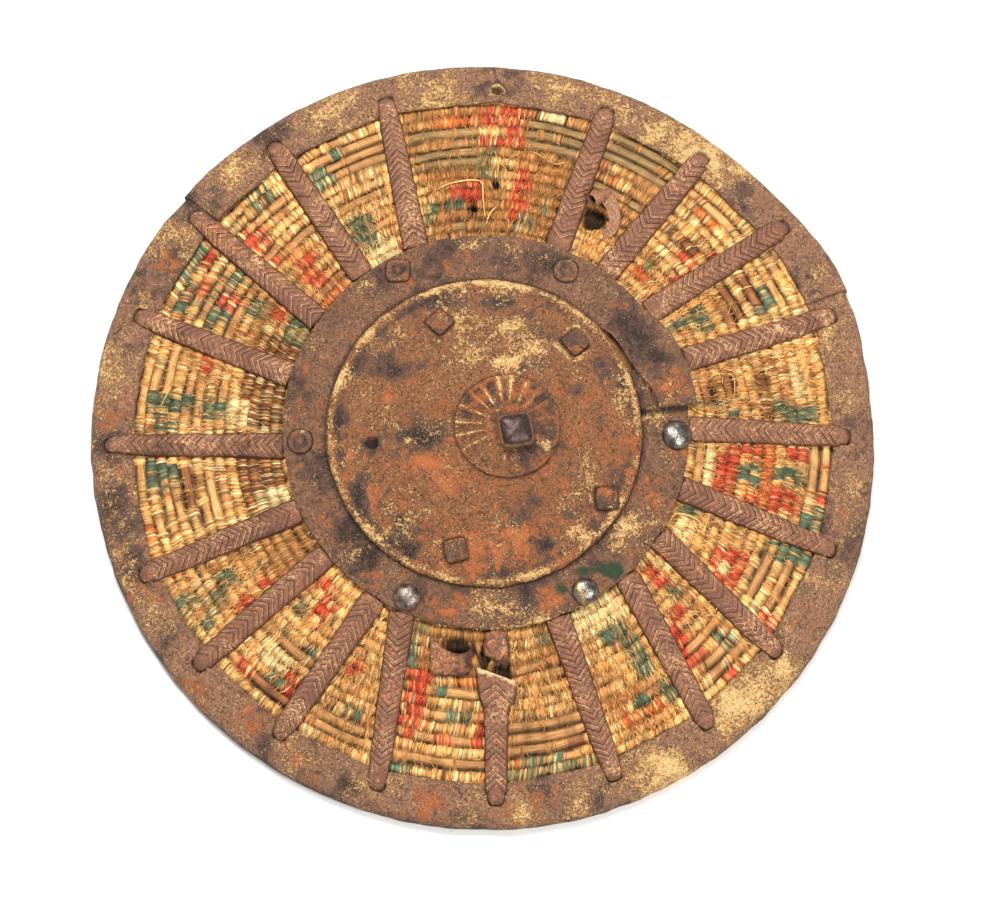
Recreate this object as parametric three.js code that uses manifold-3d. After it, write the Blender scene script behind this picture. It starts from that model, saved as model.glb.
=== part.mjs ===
// A round cane shield with an iron rim, nineteen radial iron bars and a domed iron boss.
// It lies face up on the flat back flange of its rim; +X is the shield's right, +Y its top.

import * as THREE from 'three';
import { mergeVertices } from 'three/addons/utils/BufferGeometryUtils.js';
import loadManifold from 'manifold-3d';

const wasm = await loadManifold();
wasm.setup();

// Driving dimensions in millimetres and degrees

// space left between two pieces that touch
const CLEARANCE = 0.3;

// rim: two sheet-iron strips folded round the edge of the cane and lapped twice
const RIM_RADIUS = 240.3;
const RIM_OVAL = 1.5;
const RIM_STRETCH_ANGLE = 305;
const RIM_FRONT_WIDTH = 26.5;
const RIM_BACK_WIDTH = 18;
const RIM_SHEET = 1.6;
const RIM_SHOULDER_DROP = 4.4;
const RIM_EDGE_FALL = 3.2;
const RIM_EDGE_FOOT = 5;
const RIM_SHOULDER_INSET = 5.5;
const RIM_LIP_INSET = 0.9;
const RIM_FOOT_INSET = 3;
const RIM_BULGE = 6.5;
const RIM_BULGE_ANGLE = 26;
const RIM_BULGE_SPREAD = 11;
const LAP_RIGHT = 23.4;
const LAP_LEFT = 139.5;
const LAP_LENGTH = 6.5;
const LAP_RAMP = 5;
const RIM_STEP = 9;

// cane: one layer of withes coiled round and round into a shallow dome
const CANE_CREST_AT_RIM = 15.1;
const CANE_DOME_RADIUS = 892;
const CANE_THICKNESS = 8;
const CANE_PITCH = 7;
const CANE_GROOVE = 1.5;
const CANE_EDGE_LENGTH = 18;
const CANE_EDGE_SINK = 2.2;
const CANE_BACK_TURN = 188;
const CANE_BACK_RINGS = 3;
const CANE_SEGMENTS = 32;

// boss ring: an open band bent round, its two ends lapped at the right
const RING_X = 2.1;
const RING_Y = 1.2;
const RING_WIDTH = 31;
const RING_SHEET = 1.6;
const RING_END_ANGLE = 7.5;
const RING_LAP = 15;
const RING_END_SPREAD = 6;
const RING_END_WIDTH = 23;
const RING_END_RAMP = 34;
const RING_END_NARROW = 20;
const RING_STEP = 10;

// boss plate: a domed disc over the ring's inner edge
const PLATE_X = 1.2;
const PLATE_Y = -1.2;
const PLATE_RADIUS = 97;
const PLATE_RISE = 16.5;
const PLATE_SHEET = 1.8;
const PLATE_EDGE = 1.2;
const PLATE_RINGS = 3;
const PLATE_SEAT = 4;
const RING_RADIUS = PLATE_RADIUS - PLATE_SEAT + RING_WIDTH;

// rosette and finial, both to the right of the plate's middle
const ROSETTE_OFFSET = 14;
const ROSETTE_RADIUS = 32;
const ROSETTE_HUB = 13;
const ROSETTE_SHEET = 1.3;
const ROSETTE_RAYS = 20;
const ROSETTE_CUT = 0.5;
const FINIAL_X = 19.8;
const FINIAL_Y = -5.3;
const FINIAL_TURN = 10;
const FINIAL_SIDE = 21;
const FINIAL_HEIGHT = 9;
const FINIAL_SHANK = 6;
const FINIAL_TAIL = 9;
// the finial's outline, as shares of its height and of its side
const FINIAL_OUTLINE = [[0, 0.8], [0.3, 1], [0.65, 0.92], [0.92, 0.6], [1, 0.25]];

// nails through the boss plate and rivets through the ring
const NAIL_HEAD = 13.5;
const NAIL_HEAD_HEIGHT = 2.4;
const NAIL_CROWN = 9.5;
const NAIL_SHANK = 4.6;
const NAIL_TAIL = 8;
const NAIL_TAIL_END = 6.4;
const RIVET_HEAD_RADIUS = 8.3;
const RIVET_HEAD_HEIGHT = 4.6;
const RIVET_CROWN_RINGS = 3;
const WORN_HEAD_RADIUS = 7.4;
const WORN_HEAD_HEIGHT = 1.1;
const WORN_HEAD_FLAT = 6.4;
const WORN_HEAD_DISH = 0.45;
const RIVET_SHANK_RADIUS = 2.4;
const RIVET_TAIL_RADIUS = 4.4;
const TAIL_THICKNESS = 1.6;
const RIVET_SIDES = 8;
const BORE_SIDES = 6;
const LOST_NAIL_HOLE = 6.7;

// bars: half-round iron with a herringbone cut, tapering from the ring to the rim
const BAR_WIDTH_AT_RING = 16.5;
const BAR_WIDTH_AT_RIM = 13.2;
const BAR_TIP_WIDTH = 7;
const BAR_HEIGHT = 4.4;
const BAR_TIP_HEIGHT = 2.4;
const BAR_TIP_LENGTH = 15;
const BAR_TONGUE_WIDTH = 7.5;
const BAR_TONGUE_LENGTH = 13;
const BAR_TONGUE_THICKNESS = 2;
const BAR_HOOK_LENGTH = 4;
const BAR_HOOK_WIDTH = 7.7;
const BAR_SHOULDER = 5;
const BAR_CLIMB_START = 8;
const BAR_CLIMB = 6;
const CHEVRON_PITCH = 9;
const CHEVRON_DEPTH = 0.7;
const CHEVRON_ANGLE = 50;
const CHEVRON_EASE = 3;
const TIP_HOLE_WIDTH = 9;
const TIP_HOLE_LENGTH = 7.5;
const TIP_HOLE_BEYOND = 2;
const LOST_BAR_ANGLE = 87.7;
const LOST_BAR_INSET = 14.5;
const BREAK_PAST_RING = 28;
const BREAK_FLARE = 25;
const BREAK_LIFT = 5;
const BREAK_LENGTH = 14;
const BREAK_SHEET = 1.2;
const BREAK_NECK_WIDTH = 20;
const BREAK_NECK_HEIGHT = 3.5;
const STUB_LENGTH = 19;
const STUB_WIDTH = 15;
const STUB_NECK = 1;
const STUB_SHOULDER = 3;

// torn and peeled pieces: a curled strap by the broken bar and a peeled strip over a hole
const STRAP_X = -19.7;
const STRAP_PAST_RING = 7;
const STRAP_SPAN = 24;
const STRAP_DEPTH = 17;
const STRAP_LIFT = 6;
const STRAP_SHEET = 1.2;
const STRAP_BOW = 5.1;
const STRAP_LOW_LIFT = 1.8;
const STRAP_STEPS = 8;
const HOLE_ANGLE = 63.5;
const HOLE_PAST_RING = 29.5;
const HOLE_WIDTH = 15;
const HOLE_HEIGHT = 16;
const HOLE_DEPTH = 5.5;
const HOLE_SIDES = 8;
const PEEL_WIDTH = 6.5;
const PEEL_SHEET = 0.9;
const PEEL_TAPER = 0.2;
const PEEL_STEPS = 12;
// where along the strip it starts to stand on edge, and how far on it stands fully
const PEEL_ROLL = [0.3, 0.65];
// the strip's middle line beside the hole: right, up and out from the hole's middle
const PEEL_LINE = [
  [9.5, -8.5, 0.4],
  [11, -3, 3],
  [10, 4, 4.6],
  [7, 10.5, 5.4],
  [2, 15, 5.4],
  [-3.2, 14.4, 5],
  [-4, 10, 4.6],
  [-0.5, 8.6, 4.6],
];

// each bar: the angle of its tip, how far that is inside the rim's edge, the angle where it
// leaves the ring, and which way its herringbone points
const BARS = [
  { tip: 0.7, inset: 15.3, root: 1, apex: -1 },
  { tip: 20.3, inset: 9.3, root: 20.6, apex: 1 },
  { tip: 36.3, inset: 7.7, root: 37.2, apex: -1 },
  { tip: 53, inset: 12.3, root: 53.8, apex: -1 },
  { tip: 69.9, inset: 14.5, root: 69.4, apex: -1 },
  { tip: 105.4, inset: 13.6, root: 110.2, apex: 1 },
  { tip: 124.4, inset: 10.3, root: 127.5, apex: -1 },
  { tip: 141.1, inset: 10.4, root: 145.5, apex: 1 },
  { tip: 159.4, inset: 12.4, root: 163.4, apex: 1 },
  { tip: 180.5, inset: 9.3, root: 184.1, apex: 1 },
  { tip: 202.2, inset: 14.7, root: 203.5, apex: -1 },
  { tip: 219.1, inset: 14.9, root: 218.5, apex: -1 },
  { tip: 236.1, inset: 16.4, root: 237, apex: -1 },
  { tip: 253.5, inset: 13, root: 245.8, apex: 1 },
  { tip: 272.1, inset: 12.9, root: 272.9, apex: -1, broken: true },
  { tip: 290.9, inset: 13.5, root: 290.6, apex: 1 },
  { tip: 307.6, inset: 13.7, root: 313.5, apex: -1 },
  { tip: 323.5, inset: 14.9, root: 328, apex: 1 },
  { tip: 342.1, inset: 14.1, root: 343.4, apex: 1 },
];

// nails round the plate's middle and rivets round the ring's middle, inside their outer edges
const NAILS = [
  { angle: 112, inset: 24.8, turn: 45 },
  { angle: 44.7, inset: 19.2, turn: 40 },
  { angle: 330.2, inset: 11.5, turn: 5 },
  { angle: 257.1, inset: 19.9, turn: 12 },
];
const LOST_NAIL = { angle: 187.3, inset: 28.1 };
const DOMED_RIVETS = [
  { angle: 358.4, inset: 7.4 },
  { angle: 245.4, inset: 8.8 },
  { angle: 300.9, inset: 6.5 },
];
const WORN_RIVETS = [
  { angle: 118.1, inset: 9.8 },
  { angle: 64, inset: 12 },
  { angle: 183.6, inset: 10.5 },
];

// Colours, from the photograph
const rustedIron = { color: 0x76523f, roughness: 0.85, metalness: 0.4 };
const barIron = { color: 0x7a5345, roughness: 0.8, metalness: 0.4 };
const brightSteel = { color: 0x7c7672, roughness: 0.3, metalness: 1 };
const woundCane = { color: 0xc08f4c, roughness: 0.9, metalness: 0 };
const bareCane = { color: 0x9c6f4a, roughness: 0.8, metalness: 0 };

const radians = THREE.MathUtils.degToRad;

// vertices closer than this are one vertex
const MERGE_DISTANCE = 1e-3;

// crest height of the cane's front at a distance from the shield's middle
function caneCrest(radius) {
  const inner = RIM_RADIUS - RIM_FRONT_WIDTH;
  return CANE_CREST_AT_RIM + (inner ** 2 - radius ** 2) / (2 * CANE_DOME_RADIUS);
}

// a point given round some middle, as a plain position
function polar(radius, angle, x = 0, y = 0) {
  const turn = radians(angle);
  return new THREE.Vector2(x + radius * Math.cos(turn), y + radius * Math.sin(turn));
}

// Turning triangles into closed solids and back

function solidOf(geometry) {
  const bare = geometry.clone();
  bare.deleteAttribute('normal');
  bare.deleteAttribute('uv');
  const merged = mergeVertices(bare, MERGE_DISTANCE);
  const positions = merged.getAttribute('position');
  const index = merged.getIndex().array;
  const faces = [];
  let volume = 0;
  const a = new THREE.Vector3();
  const b = new THREE.Vector3();
  const c = new THREE.Vector3();
  for (let i = 0; i < index.length; i += 3) {
    const [p, q, r] = [index[i], index[i + 1], index[i + 2]];
    if (p === q || q === r || r === p) continue;
    faces.push(p, q, r);
    a.fromBufferAttribute(positions, p);
    b.fromBufferAttribute(positions, q);
    c.fromBufferAttribute(positions, r);
    volume += a.dot(b.cross(c));
  }
  if (volume < 0) faces.reverse();
  const mesh = new wasm.Mesh({
    numProp: 3,
    vertProperties: Float32Array.from(positions.array),
    triVerts: Uint32Array.from(faces),
  });
  return new wasm.Manifold(mesh);
}

function geometryOf(solid) {
  const mesh = solid.getMesh();
  const geometry = new THREE.BufferGeometry();
  geometry.setAttribute('position', new THREE.BufferAttribute(mesh.vertProperties, 3));
  geometry.setIndex(new THREE.BufferAttribute(mesh.triVerts, 1));
  geometry.computeVertexNormals();
  return geometry;
}

// a skin over rings of points; an open run is capped, with each cap's outline given flat
function skin(rings, outline = null) {
  const count = rings[0].length;
  const points = rings.flat().flatMap((point) => [point.x, point.y, point.z]);
  const faces = [];
  const runs = outline ? rings.length - 1 : rings.length;
  for (let i = 0; i < runs; i += 1) {
    const here = i * count;
    const next = ((i + 1) % rings.length) * count;
    for (let j = 0; j < count; j += 1) {
      const k = (j + 1) % count;
      faces.push(here + j, here + k, next + k, here + j, next + k, next + j);
    }
  }
  if (outline) {
    const last = (rings.length - 1) * count;
    const way = Math.sign(THREE.ShapeUtils.area(outline));
    for (const [p, q, r] of THREE.ShapeUtils.triangulateShape(outline, [])) {
      const turn = Math.sign(THREE.ShapeUtils.area([outline[p], outline[q], outline[r]]));
      const [s, t] = turn === way ? [q, r] : [r, q];
      faces.push(p, t, s, last + p, last + s, last + t);
    }
  }
  const geometry = new THREE.BufferGeometry();
  geometry.setAttribute('position', new THREE.Float32BufferAttribute(points, 3));
  geometry.setIndex(faces);
  return geometry;
}

// a round piece turned about +Z from a profile of [radius, height] pairs
function turned(profile, segments) {
  const points = profile.map(([radius, height]) => new THREE.Vector2(radius, height));
  return new THREE.LatheGeometry(points, segments).rotateX(Math.PI / 2);
}

// a square-sided piece stacked along +Z from [height, side] pairs
function stacked(levels) {
  const square = [[1, 1], [-1, 1], [-1, -1], [1, -1]];
  const rings = levels.map(([height, side]) => (
    square.map(([x, y]) => new THREE.Vector3(x * side / 2, y * side / 2, height))
  ));
  return skin(rings, square.map(([x, y]) => new THREE.Vector2(x, y)));
}

const shield = new THREE.Group();

function add(name, geometry, finish, parent = shield) {
  const mesh = new THREE.Mesh(geometry, new THREE.MeshStandardMaterial(finish));
  mesh.name = name;
  parent.add(mesh);
  return mesh;
}

// the given geometry as it lies once its mesh is placed
function placedSolid(geometry, mesh) {
  mesh.updateWorldMatrix(true, false);
  return solidOf(geometry.clone().applyMatrix4(mesh.matrixWorld));
}

// Rim

function offsetLine(line, distance) {
  return line.map(([x, y], i) => {
    const before = line[Math.max(i - 1, 0)];
    const after = line[Math.min(i + 1, line.length - 1)];
    const run = [after[0] - before[0], after[1] - before[1]];
    const share = distance / Math.hypot(...run);
    return [x - run[1] * share, y + run[0] * share];
  });
}

function smooth(value) {
  return THREE.MathUtils.smoothstep(value, 0, 1);
}

function bulgeAt(angle) {
  const away = THREE.MathUtils.euclideanModulo(angle - RIM_BULGE_ANGLE + 180, 360) - 180;
  return Math.exp(-((away / RIM_BULGE_SPREAD) ** 2));
}

function rimRadius(angle) {
  const turn = radians(angle - RIM_STRETCH_ANGLE);
  return RIM_RADIUS + RIM_OVAL * Math.cos(2 * turn) + RIM_BULGE * bulgeAt(angle);
}

// the C-shaped section: front flange, edge and back flange, pushed out or in by a lift
function rimSection(angle, lift, frontRise) {
  const edge = rimRadius(angle);
  const inner = RIM_RADIUS - RIM_FRONT_WIDTH + RIM_BULGE * bulgeAt(angle) / 2;
  const top = caneCrest(RIM_RADIUS - RIM_FRONT_WIDTH) + CLEARANCE + RIM_SHEET;
  const shoulder = top - RIM_SHOULDER_DROP;
  const outer = [
    [inner, top + frontRise],
    [edge - RIM_SHOULDER_INSET, shoulder + frontRise],
    [edge - RIM_LIP_INSET, shoulder - RIM_EDGE_FALL + frontRise / 2],
    [edge, RIM_EDGE_FOOT],
    [edge - RIM_FOOT_INSET, 0],
    [RIM_RADIUS - RIM_BACK_WIDTH, 0],
  ];
  const inside = offsetLine(outer, lift - RIM_SHEET).reverse();
  return offsetLine(outer, lift).concat(inside);
}

// the angles that both strips share, so that their facets match where they lap
const lapLimits = [LAP_RIGHT, LAP_LEFT - LAP_LENGTH].flatMap((start) => (
  [start - LAP_RAMP, start, start + LAP_LENGTH, start + LAP_LENGTH + LAP_RAMP]
));

function rimStations(start, end) {
  const clear = (angle) => lapLimits.every((limit) => Math.abs(limit - angle) > RIM_STEP / 3);
  const round = [...lapLimits];
  for (let angle = 0; angle < 360; angle += RIM_STEP) if (clear(angle)) round.push(angle);
  const both = round.concat(round.map((angle) => angle + 360));
  return both.filter((angle) => angle >= start && angle <= end).sort((a, b) => a - b);
}

function rimStrip(start, end, settings) {
  let outline = [];
  const rings = rimStations(start, end).map((angle) => {
    const { lift, rise } = settings(angle);
    const section = rimSection(angle, lift, rise);
    outline = section.map(([x, y]) => new THREE.Vector2(x, y));
    return section.map(([radius, height]) => {
      const place = polar(radius, angle);
      return new THREE.Vector3(place.x, place.y, height);
    });
  });
  return skin(rings, outline);
}

// how far an angle is inside a lap, 1 in the lap and falling to 0 beside it
function lapShare(angle, lapStart) {
  const middle = lapStart + LAP_LENGTH / 2;
  const away = Math.abs(THREE.MathUtils.euclideanModulo(angle - middle + 180, 360) - 180);
  return THREE.MathUtils.clamp(1 - (away - LAP_LENGTH / 2) / LAP_RAMP, 0, 1);
}

const LAP_STEP = RIM_SHEET + CLEARANCE;
const leftLapStart = LAP_LEFT - LAP_LENGTH;
const inLap = (angle) => Math.max(lapShare(angle, LAP_RIGHT), lapShare(angle, leftLapStart));

// the upper strip lies outside at both laps, the lower strip is set in under it
const upperStrip = rimStrip(LAP_RIGHT, LAP_LEFT, (angle) => (
  { lift: 0, rise: LAP_STEP * inLap(angle) }
));
const lowerStrip = rimStrip(leftLapStart, LAP_RIGHT + LAP_LENGTH + 360, (angle) => (
  { lift: -LAP_STEP * inLap(angle), rise: LAP_STEP * inLap(angle) }
));

// a short square punch through the front flange for a bar's tip
function tipPunch(inset, angle) {
  const bottom = RIM_EDGE_FOOT;
  const top = 2 * CANE_CREST_AT_RIM;
  const punch = new THREE.BoxGeometry(TIP_HOLE_LENGTH, TIP_HOLE_WIDTH, top - bottom);
  const place = polar(RIM_RADIUS - inset + TIP_HOLE_BEYOND - TIP_HOLE_LENGTH / 2, angle);
  punch.rotateZ(radians(angle));
  punch.translate(place.x, place.y, (top + bottom) / 2);
  return solidOf(punch);
}

let tipPunches = tipPunch(LOST_BAR_INSET, LOST_BAR_ANGLE);
for (const bar of BARS) tipPunches = tipPunches.add(tipPunch(bar.inset, bar.tip));

add('rim_upper_strip', geometryOf(solidOf(upperStrip).subtract(tipPunches)), rustedIron);
add('rim_lower_strip', geometryOf(solidOf(lowerStrip).subtract(tipPunches)), rustedIron);

// Rivets through the ring, square to the dome under them

const PLATE_BALL = (PLATE_RADIUS ** 2 + PLATE_RISE ** 2) / (2 * PLATE_RISE);
const ringUnder = BAR_TONGUE_THICKNESS + 2 * CLEARANCE;
const ringTop = ringUnder + RING_SHEET;
const plateEdgeUnder = caneCrest(PLATE_RADIUS) + ringTop + 2 * CLEARANCE;
const plateBallHeight = plateEdgeUnder + PLATE_SHEET + PLATE_RISE - PLATE_BALL;

// a group whose +Z is square to the cane's dome at a place and whose origin is on its crest
function onDome(place, height) {
  const spot = new THREE.Group();
  const radius = place.length();
  spot.position.set(place.x, place.y, caneCrest(radius) + height);
  const normal = new THREE.Vector3(place.x, place.y, CANE_DOME_RADIUS).normalize();
  spot.quaternion.setFromUnitVectors(new THREE.Vector3(0, 0, 1), normal);
  shield.add(spot);
  return spot;
}

// a rivet from its head down to a clenched tail behind the cane
function rivetProfile(headRadius, headHeight, crown, reach) {
  const tail = -reach - CLEARANCE;
  return [
    [0, tail - TAIL_THICKNESS],
    [RIVET_TAIL_RADIUS, tail - TAIL_THICKNESS / 2],
    [RIVET_TAIL_RADIUS, tail],
    [RIVET_SHANK_RADIUS, tail],
    [RIVET_SHANK_RADIUS, 0],
    [headRadius, 0],
    ...crown,
    [0, headHeight],
  ];
}

// a round cutter along +Z, from twice its reach below to its reach above
function roundBore(radius, reach) {
  return turned([[0, -2 * reach], [radius, -2 * reach], [radius, reach], [0, reach]], BORE_SIDES);
}

const rivetBores = [];

function addRivet(name, spot, headRadius, headHeight, crown, finish) {
  const place = polar(RING_RADIUS - spot.inset, spot.angle, RING_X, RING_Y);
  const lift = ringTop + 2 * CLEARANCE;
  const reach = lift + CANE_THICKNESS + CLEARANCE;
  const profile = rivetProfile(headRadius, headHeight, crown, reach);
  const group = onDome(place, lift);
  const mesh = add(name, geometryOf(solidOf(turned(profile, RIVET_SIDES))), finish, group);
  const boreRadius = (RIVET_SHANK_RADIUS + CLEARANCE) / Math.cos(Math.PI / BORE_SIDES);
  rivetBores.push(placedSolid(roundBore(boreRadius, reach), mesh));
}

// a quarter ellipse from the head's edge up to its middle, without its two ends
const domeCrown = [];
for (let ring = 1; ring < RIVET_CROWN_RINGS; ring += 1) {
  const turn = ring / RIVET_CROWN_RINGS * Math.PI / 2;
  domeCrown.push([RIVET_HEAD_RADIUS * Math.cos(turn), RIVET_HEAD_HEIGHT * Math.sin(turn)]);
}
const wornCrown = [[WORN_HEAD_FLAT, WORN_HEAD_HEIGHT]];
const wornMiddle = WORN_HEAD_HEIGHT - WORN_HEAD_DISH;

DOMED_RIVETS.forEach((spot, i) => {
  addRivet(`domed_rivet_${i + 1}`, spot, RIVET_HEAD_RADIUS, RIVET_HEAD_HEIGHT, domeCrown, brightSteel);
});
WORN_RIVETS.forEach((spot, i) => {
  addRivet(`worn_rivet_${i + 1}`, spot, WORN_HEAD_RADIUS, wornMiddle, wornCrown, rustedIron);
});

// Nails through the plate, square to the plate's own dome

// a group whose +Z is square to the plate and whose origin is on the plate's face
function onPlate(x, y, lift) {
  const spot = new THREE.Group();
  const flat = new THREE.Vector2(x - PLATE_X, y - PLATE_Y);
  const height = Math.sqrt(PLATE_BALL ** 2 - flat.lengthSq());
  const normal = new THREE.Vector3(flat.x, flat.y, height).normalize();
  spot.position.set(PLATE_X, PLATE_Y, plateBallHeight).addScaledVector(normal, PLATE_BALL + lift);
  spot.quaternion.setFromUnitVectors(new THREE.Vector3(0, 0, 1), normal);
  shield.add(spot);
  return spot;
}

// a square cutter round a shank, from twice its reach below to its reach above
function squareBore(shank, reach) {
  const side = shank + 2 * CLEARANCE;
  return stacked([[-2 * reach, side], [reach, side]]);
}

const nailBores = [];

NAILS.forEach((nail, i) => {
  const place = polar(PLATE_RADIUS - nail.inset, nail.angle, PLATE_X, PLATE_Y);
  const group = onPlate(place.x, place.y, 2 * CLEARANCE);
  const back = caneCrest(place.length()) - CANE_THICKNESS - CLEARANCE;
  const way = new THREE.Vector3(0, 0, 1).applyQuaternion(group.quaternion);
  const tailDrop = NAIL_TAIL / 2 * Math.hypot(way.x, way.y);
  const reach = (group.position.z - back + tailDrop) / way.z;
  const nailTurn = new THREE.Group();
  nailTurn.rotation.z = radians(nail.turn);
  group.add(nailTurn);
  const body = stacked([
    [-reach - TAIL_THICKNESS, NAIL_TAIL_END],
    [-reach, NAIL_TAIL],
    [-reach, NAIL_SHANK],
    [0, NAIL_SHANK],
    [0, NAIL_HEAD],
    [NAIL_HEAD_HEIGHT / 2, NAIL_HEAD],
    [NAIL_HEAD_HEIGHT, NAIL_CROWN],
  ]);
  const mesh = add(`plate_nail_${i + 1}`, geometryOf(solidOf(body)), rustedIron, nailTurn);
  nailBores.push(placedSolid(squareBore(NAIL_SHANK, reach), mesh));
});

// the hole that a lost nail left, through plate and cane
const lostPlace = polar(PLATE_RADIUS - LOST_NAIL.inset, LOST_NAIL.angle, PLATE_X, PLATE_Y);
const lostHole = roundBore(LOST_NAIL_HOLE / 2, 2 * CANE_THICKNESS + PLATE_RISE);
nailBores.push(placedSolid(lostHole, onPlate(lostPlace.x, lostPlace.y, 0)));

// Finial: a square domed head on a shank clenched inside the hollow boss

const finialLift = ROSETTE_SHEET + ROSETTE_CUT + 3 * CLEARANCE;
const finialSpot = onPlate(FINIAL_X, FINIAL_Y, finialLift);
const finialTurn = new THREE.Group();
finialTurn.rotation.z = radians(FINIAL_TURN);
finialSpot.add(finialTurn);
const finialReach = finialLift + PLATE_SHEET + 2 * CLEARANCE;
const finial = add('finial', geometryOf(solidOf(stacked([
  [-finialReach - TAIL_THICKNESS, FINIAL_TAIL],
  [-finialReach, FINIAL_TAIL],
  [-finialReach, FINIAL_SHANK],
  [0, FINIAL_SHANK],
  ...FINIAL_OUTLINE.map(([height, side]) => [FINIAL_HEIGHT * height, FINIAL_SIDE * side]),
]))), rustedIron, finialTurn);
const finialBore = squareBore(FINIAL_SHANK, finialReach);

// Rosette: a thin disc beaten to the plate's curve, with chisel-cut rays

function rosetteGeometry() {
  const inside = PLATE_BALL + CLEARANCE;
  const bottom = (radius) => Math.sqrt(inside ** 2 - radius ** 2) - inside;
  const rays = 2 * ROSETTE_RAYS;
  const profile = [
    [0, bottom(0)],
    [ROSETTE_RADIUS / 2, bottom(ROSETTE_RADIUS / 2)],
    [ROSETTE_RADIUS, bottom(ROSETTE_RADIUS)],
    [ROSETTE_RADIUS, bottom(ROSETTE_RADIUS) + ROSETTE_SHEET],
    [ROSETTE_HUB, bottom(ROSETTE_HUB) + ROSETTE_SHEET],
    [0, bottom(0) + ROSETTE_SHEET],
  ];
  const disc = turned(profile, rays);
  const positions = disc.getAttribute('position');
  const upperEdge = 3;
  for (let ray = 0; ray <= rays; ray += 1) {
    const vertex = ray * profile.length + upperEdge;
    positions.setZ(vertex, positions.getZ(vertex) + (ray % 2 ? -ROSETTE_CUT : ROSETTE_CUT));
  }
  return disc;
}

const rosetteSpot = onPlate(PLATE_X + ROSETTE_OFFSET, PLATE_Y, CLEARANCE);
rosetteSpot.updateWorldMatrix(true, false);
const toRosette = rosetteSpot.matrixWorld.clone().invert();
finial.updateWorldMatrix(true, false);
const rosetteBore = finialBore.clone().applyMatrix4(finial.matrixWorld).applyMatrix4(toRosette);
const rosette = solidOf(rosetteGeometry()).subtract(solidOf(rosetteBore));
add('rosette', geometryOf(rosette), rustedIron, rosetteSpot);

// Boss plate

function platePoint(radius, inset) {
  const ball = PLATE_BALL - inset;
  return [radius, Math.sqrt(ball ** 2 - radius ** 2) - PLATE_BALL];
}

const plateProfile = [[0, -PLATE_SHEET]];
for (let i = 1; i <= PLATE_RINGS; i += 1) {
  plateProfile.push(platePoint((PLATE_RADIUS - PLATE_EDGE) * i / PLATE_RINGS, PLATE_SHEET));
}
plateProfile.push([PLATE_RADIUS, platePoint(PLATE_RADIUS, PLATE_SHEET / 2)[1]]);
for (let i = PLATE_RINGS; i > 0; i -= 1) {
  plateProfile.push(platePoint((PLATE_RADIUS - PLATE_EDGE) * i / PLATE_RINGS, 0));
}
plateProfile.push([0, 0]);

const plateMiddle = new THREE.Group();
plateMiddle.position.set(PLATE_X, PLATE_Y, plateBallHeight + PLATE_BALL);
shield.add(plateMiddle);
let plate = placedSolid(turned(plateProfile, CANE_SEGMENTS), plateMiddle);
for (const bore of [placedSolid(finialBore, finial), ...nailBores]) plate = plate.subtract(bore);
add('boss_plate', geometryOf(plate), rustedIron);

// Boss ring

const unitSquare = [[0, 0], [1, 0], [1, 1], [0, 1]].map(([x, y]) => new THREE.Vector2(x, y));

// how far the band at an angle belongs to its sprung upper end, 1 in the lap
function ringEndShare(angle) {
  const past = angle - RING_END_ANGLE;
  return past < 0 ? 0 : smooth(1 - (past - RING_LAP) / (RING_END_RAMP - RING_LAP));
}

// how far the sprung end's inner edge stands out from the band's own, to clear the plate
function ringEndInset(angle) {
  const past = angle - RING_END_ANGLE;
  if (past < 0 || past > RING_END_RAMP) return 0;
  const most = RING_END_SPREAD + RING_WIDTH - RING_END_WIDTH;
  return THREE.MathUtils.lerp(PLATE_SEAT + 2 * CLEARANCE, most, smooth(1 - past / RING_END_NARROW));
}

function ringBand() {
  const rings = [];
  const start = RING_END_ANGLE;
  const end = start + 360 + RING_LAP;
  const steps = Math.round((end - start) / RING_STEP);
  for (let i = 0; i <= steps; i += 1) {
    const angle = start + (end - start) * i / steps;
    const share = ringEndShare(angle);
    const outer = RING_RADIUS + RING_END_SPREAD * share;
    const inner = RING_RADIUS - RING_WIDTH + ringEndInset(angle);
    const under = ringUnder + LAP_STEP * share;
    rings.push(unitSquare.map((corner) => {
      const place = polar(THREE.MathUtils.lerp(inner, outer, corner.x), angle, RING_X, RING_Y);
      const height = under + RING_SHEET * corner.y;
      return new THREE.Vector3(place.x, place.y, caneCrest(place.length()) + height);
    }));
  }
  return skin(rings, unitSquare);
}

let ring = solidOf(ringBand());
for (const bore of rivetBores) ring = ring.subtract(bore);
add('boss_ring', geometryOf(ring), rustedIron);

// Bars

// the height of a bar's underside: on the cane, then up over the rim's front flange
function barFoot(place) {
  const radius = place.length();
  const angle = THREE.MathUtils.radToDeg(place.angle());
  const [[inner, top], [shoulder, low]] = rimSection(angle, 0, LAP_STEP * inLap(angle));
  const flange = THREE.MathUtils.mapLinear(radius, inner, shoulder, top, low);
  const climb = smooth((radius - inner + BAR_CLIMB_START) / BAR_CLIMB);
  return CLEARANCE + THREE.MathUtils.lerp(caneCrest(radius), flange + CLEARANCE, climb);
}

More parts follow.
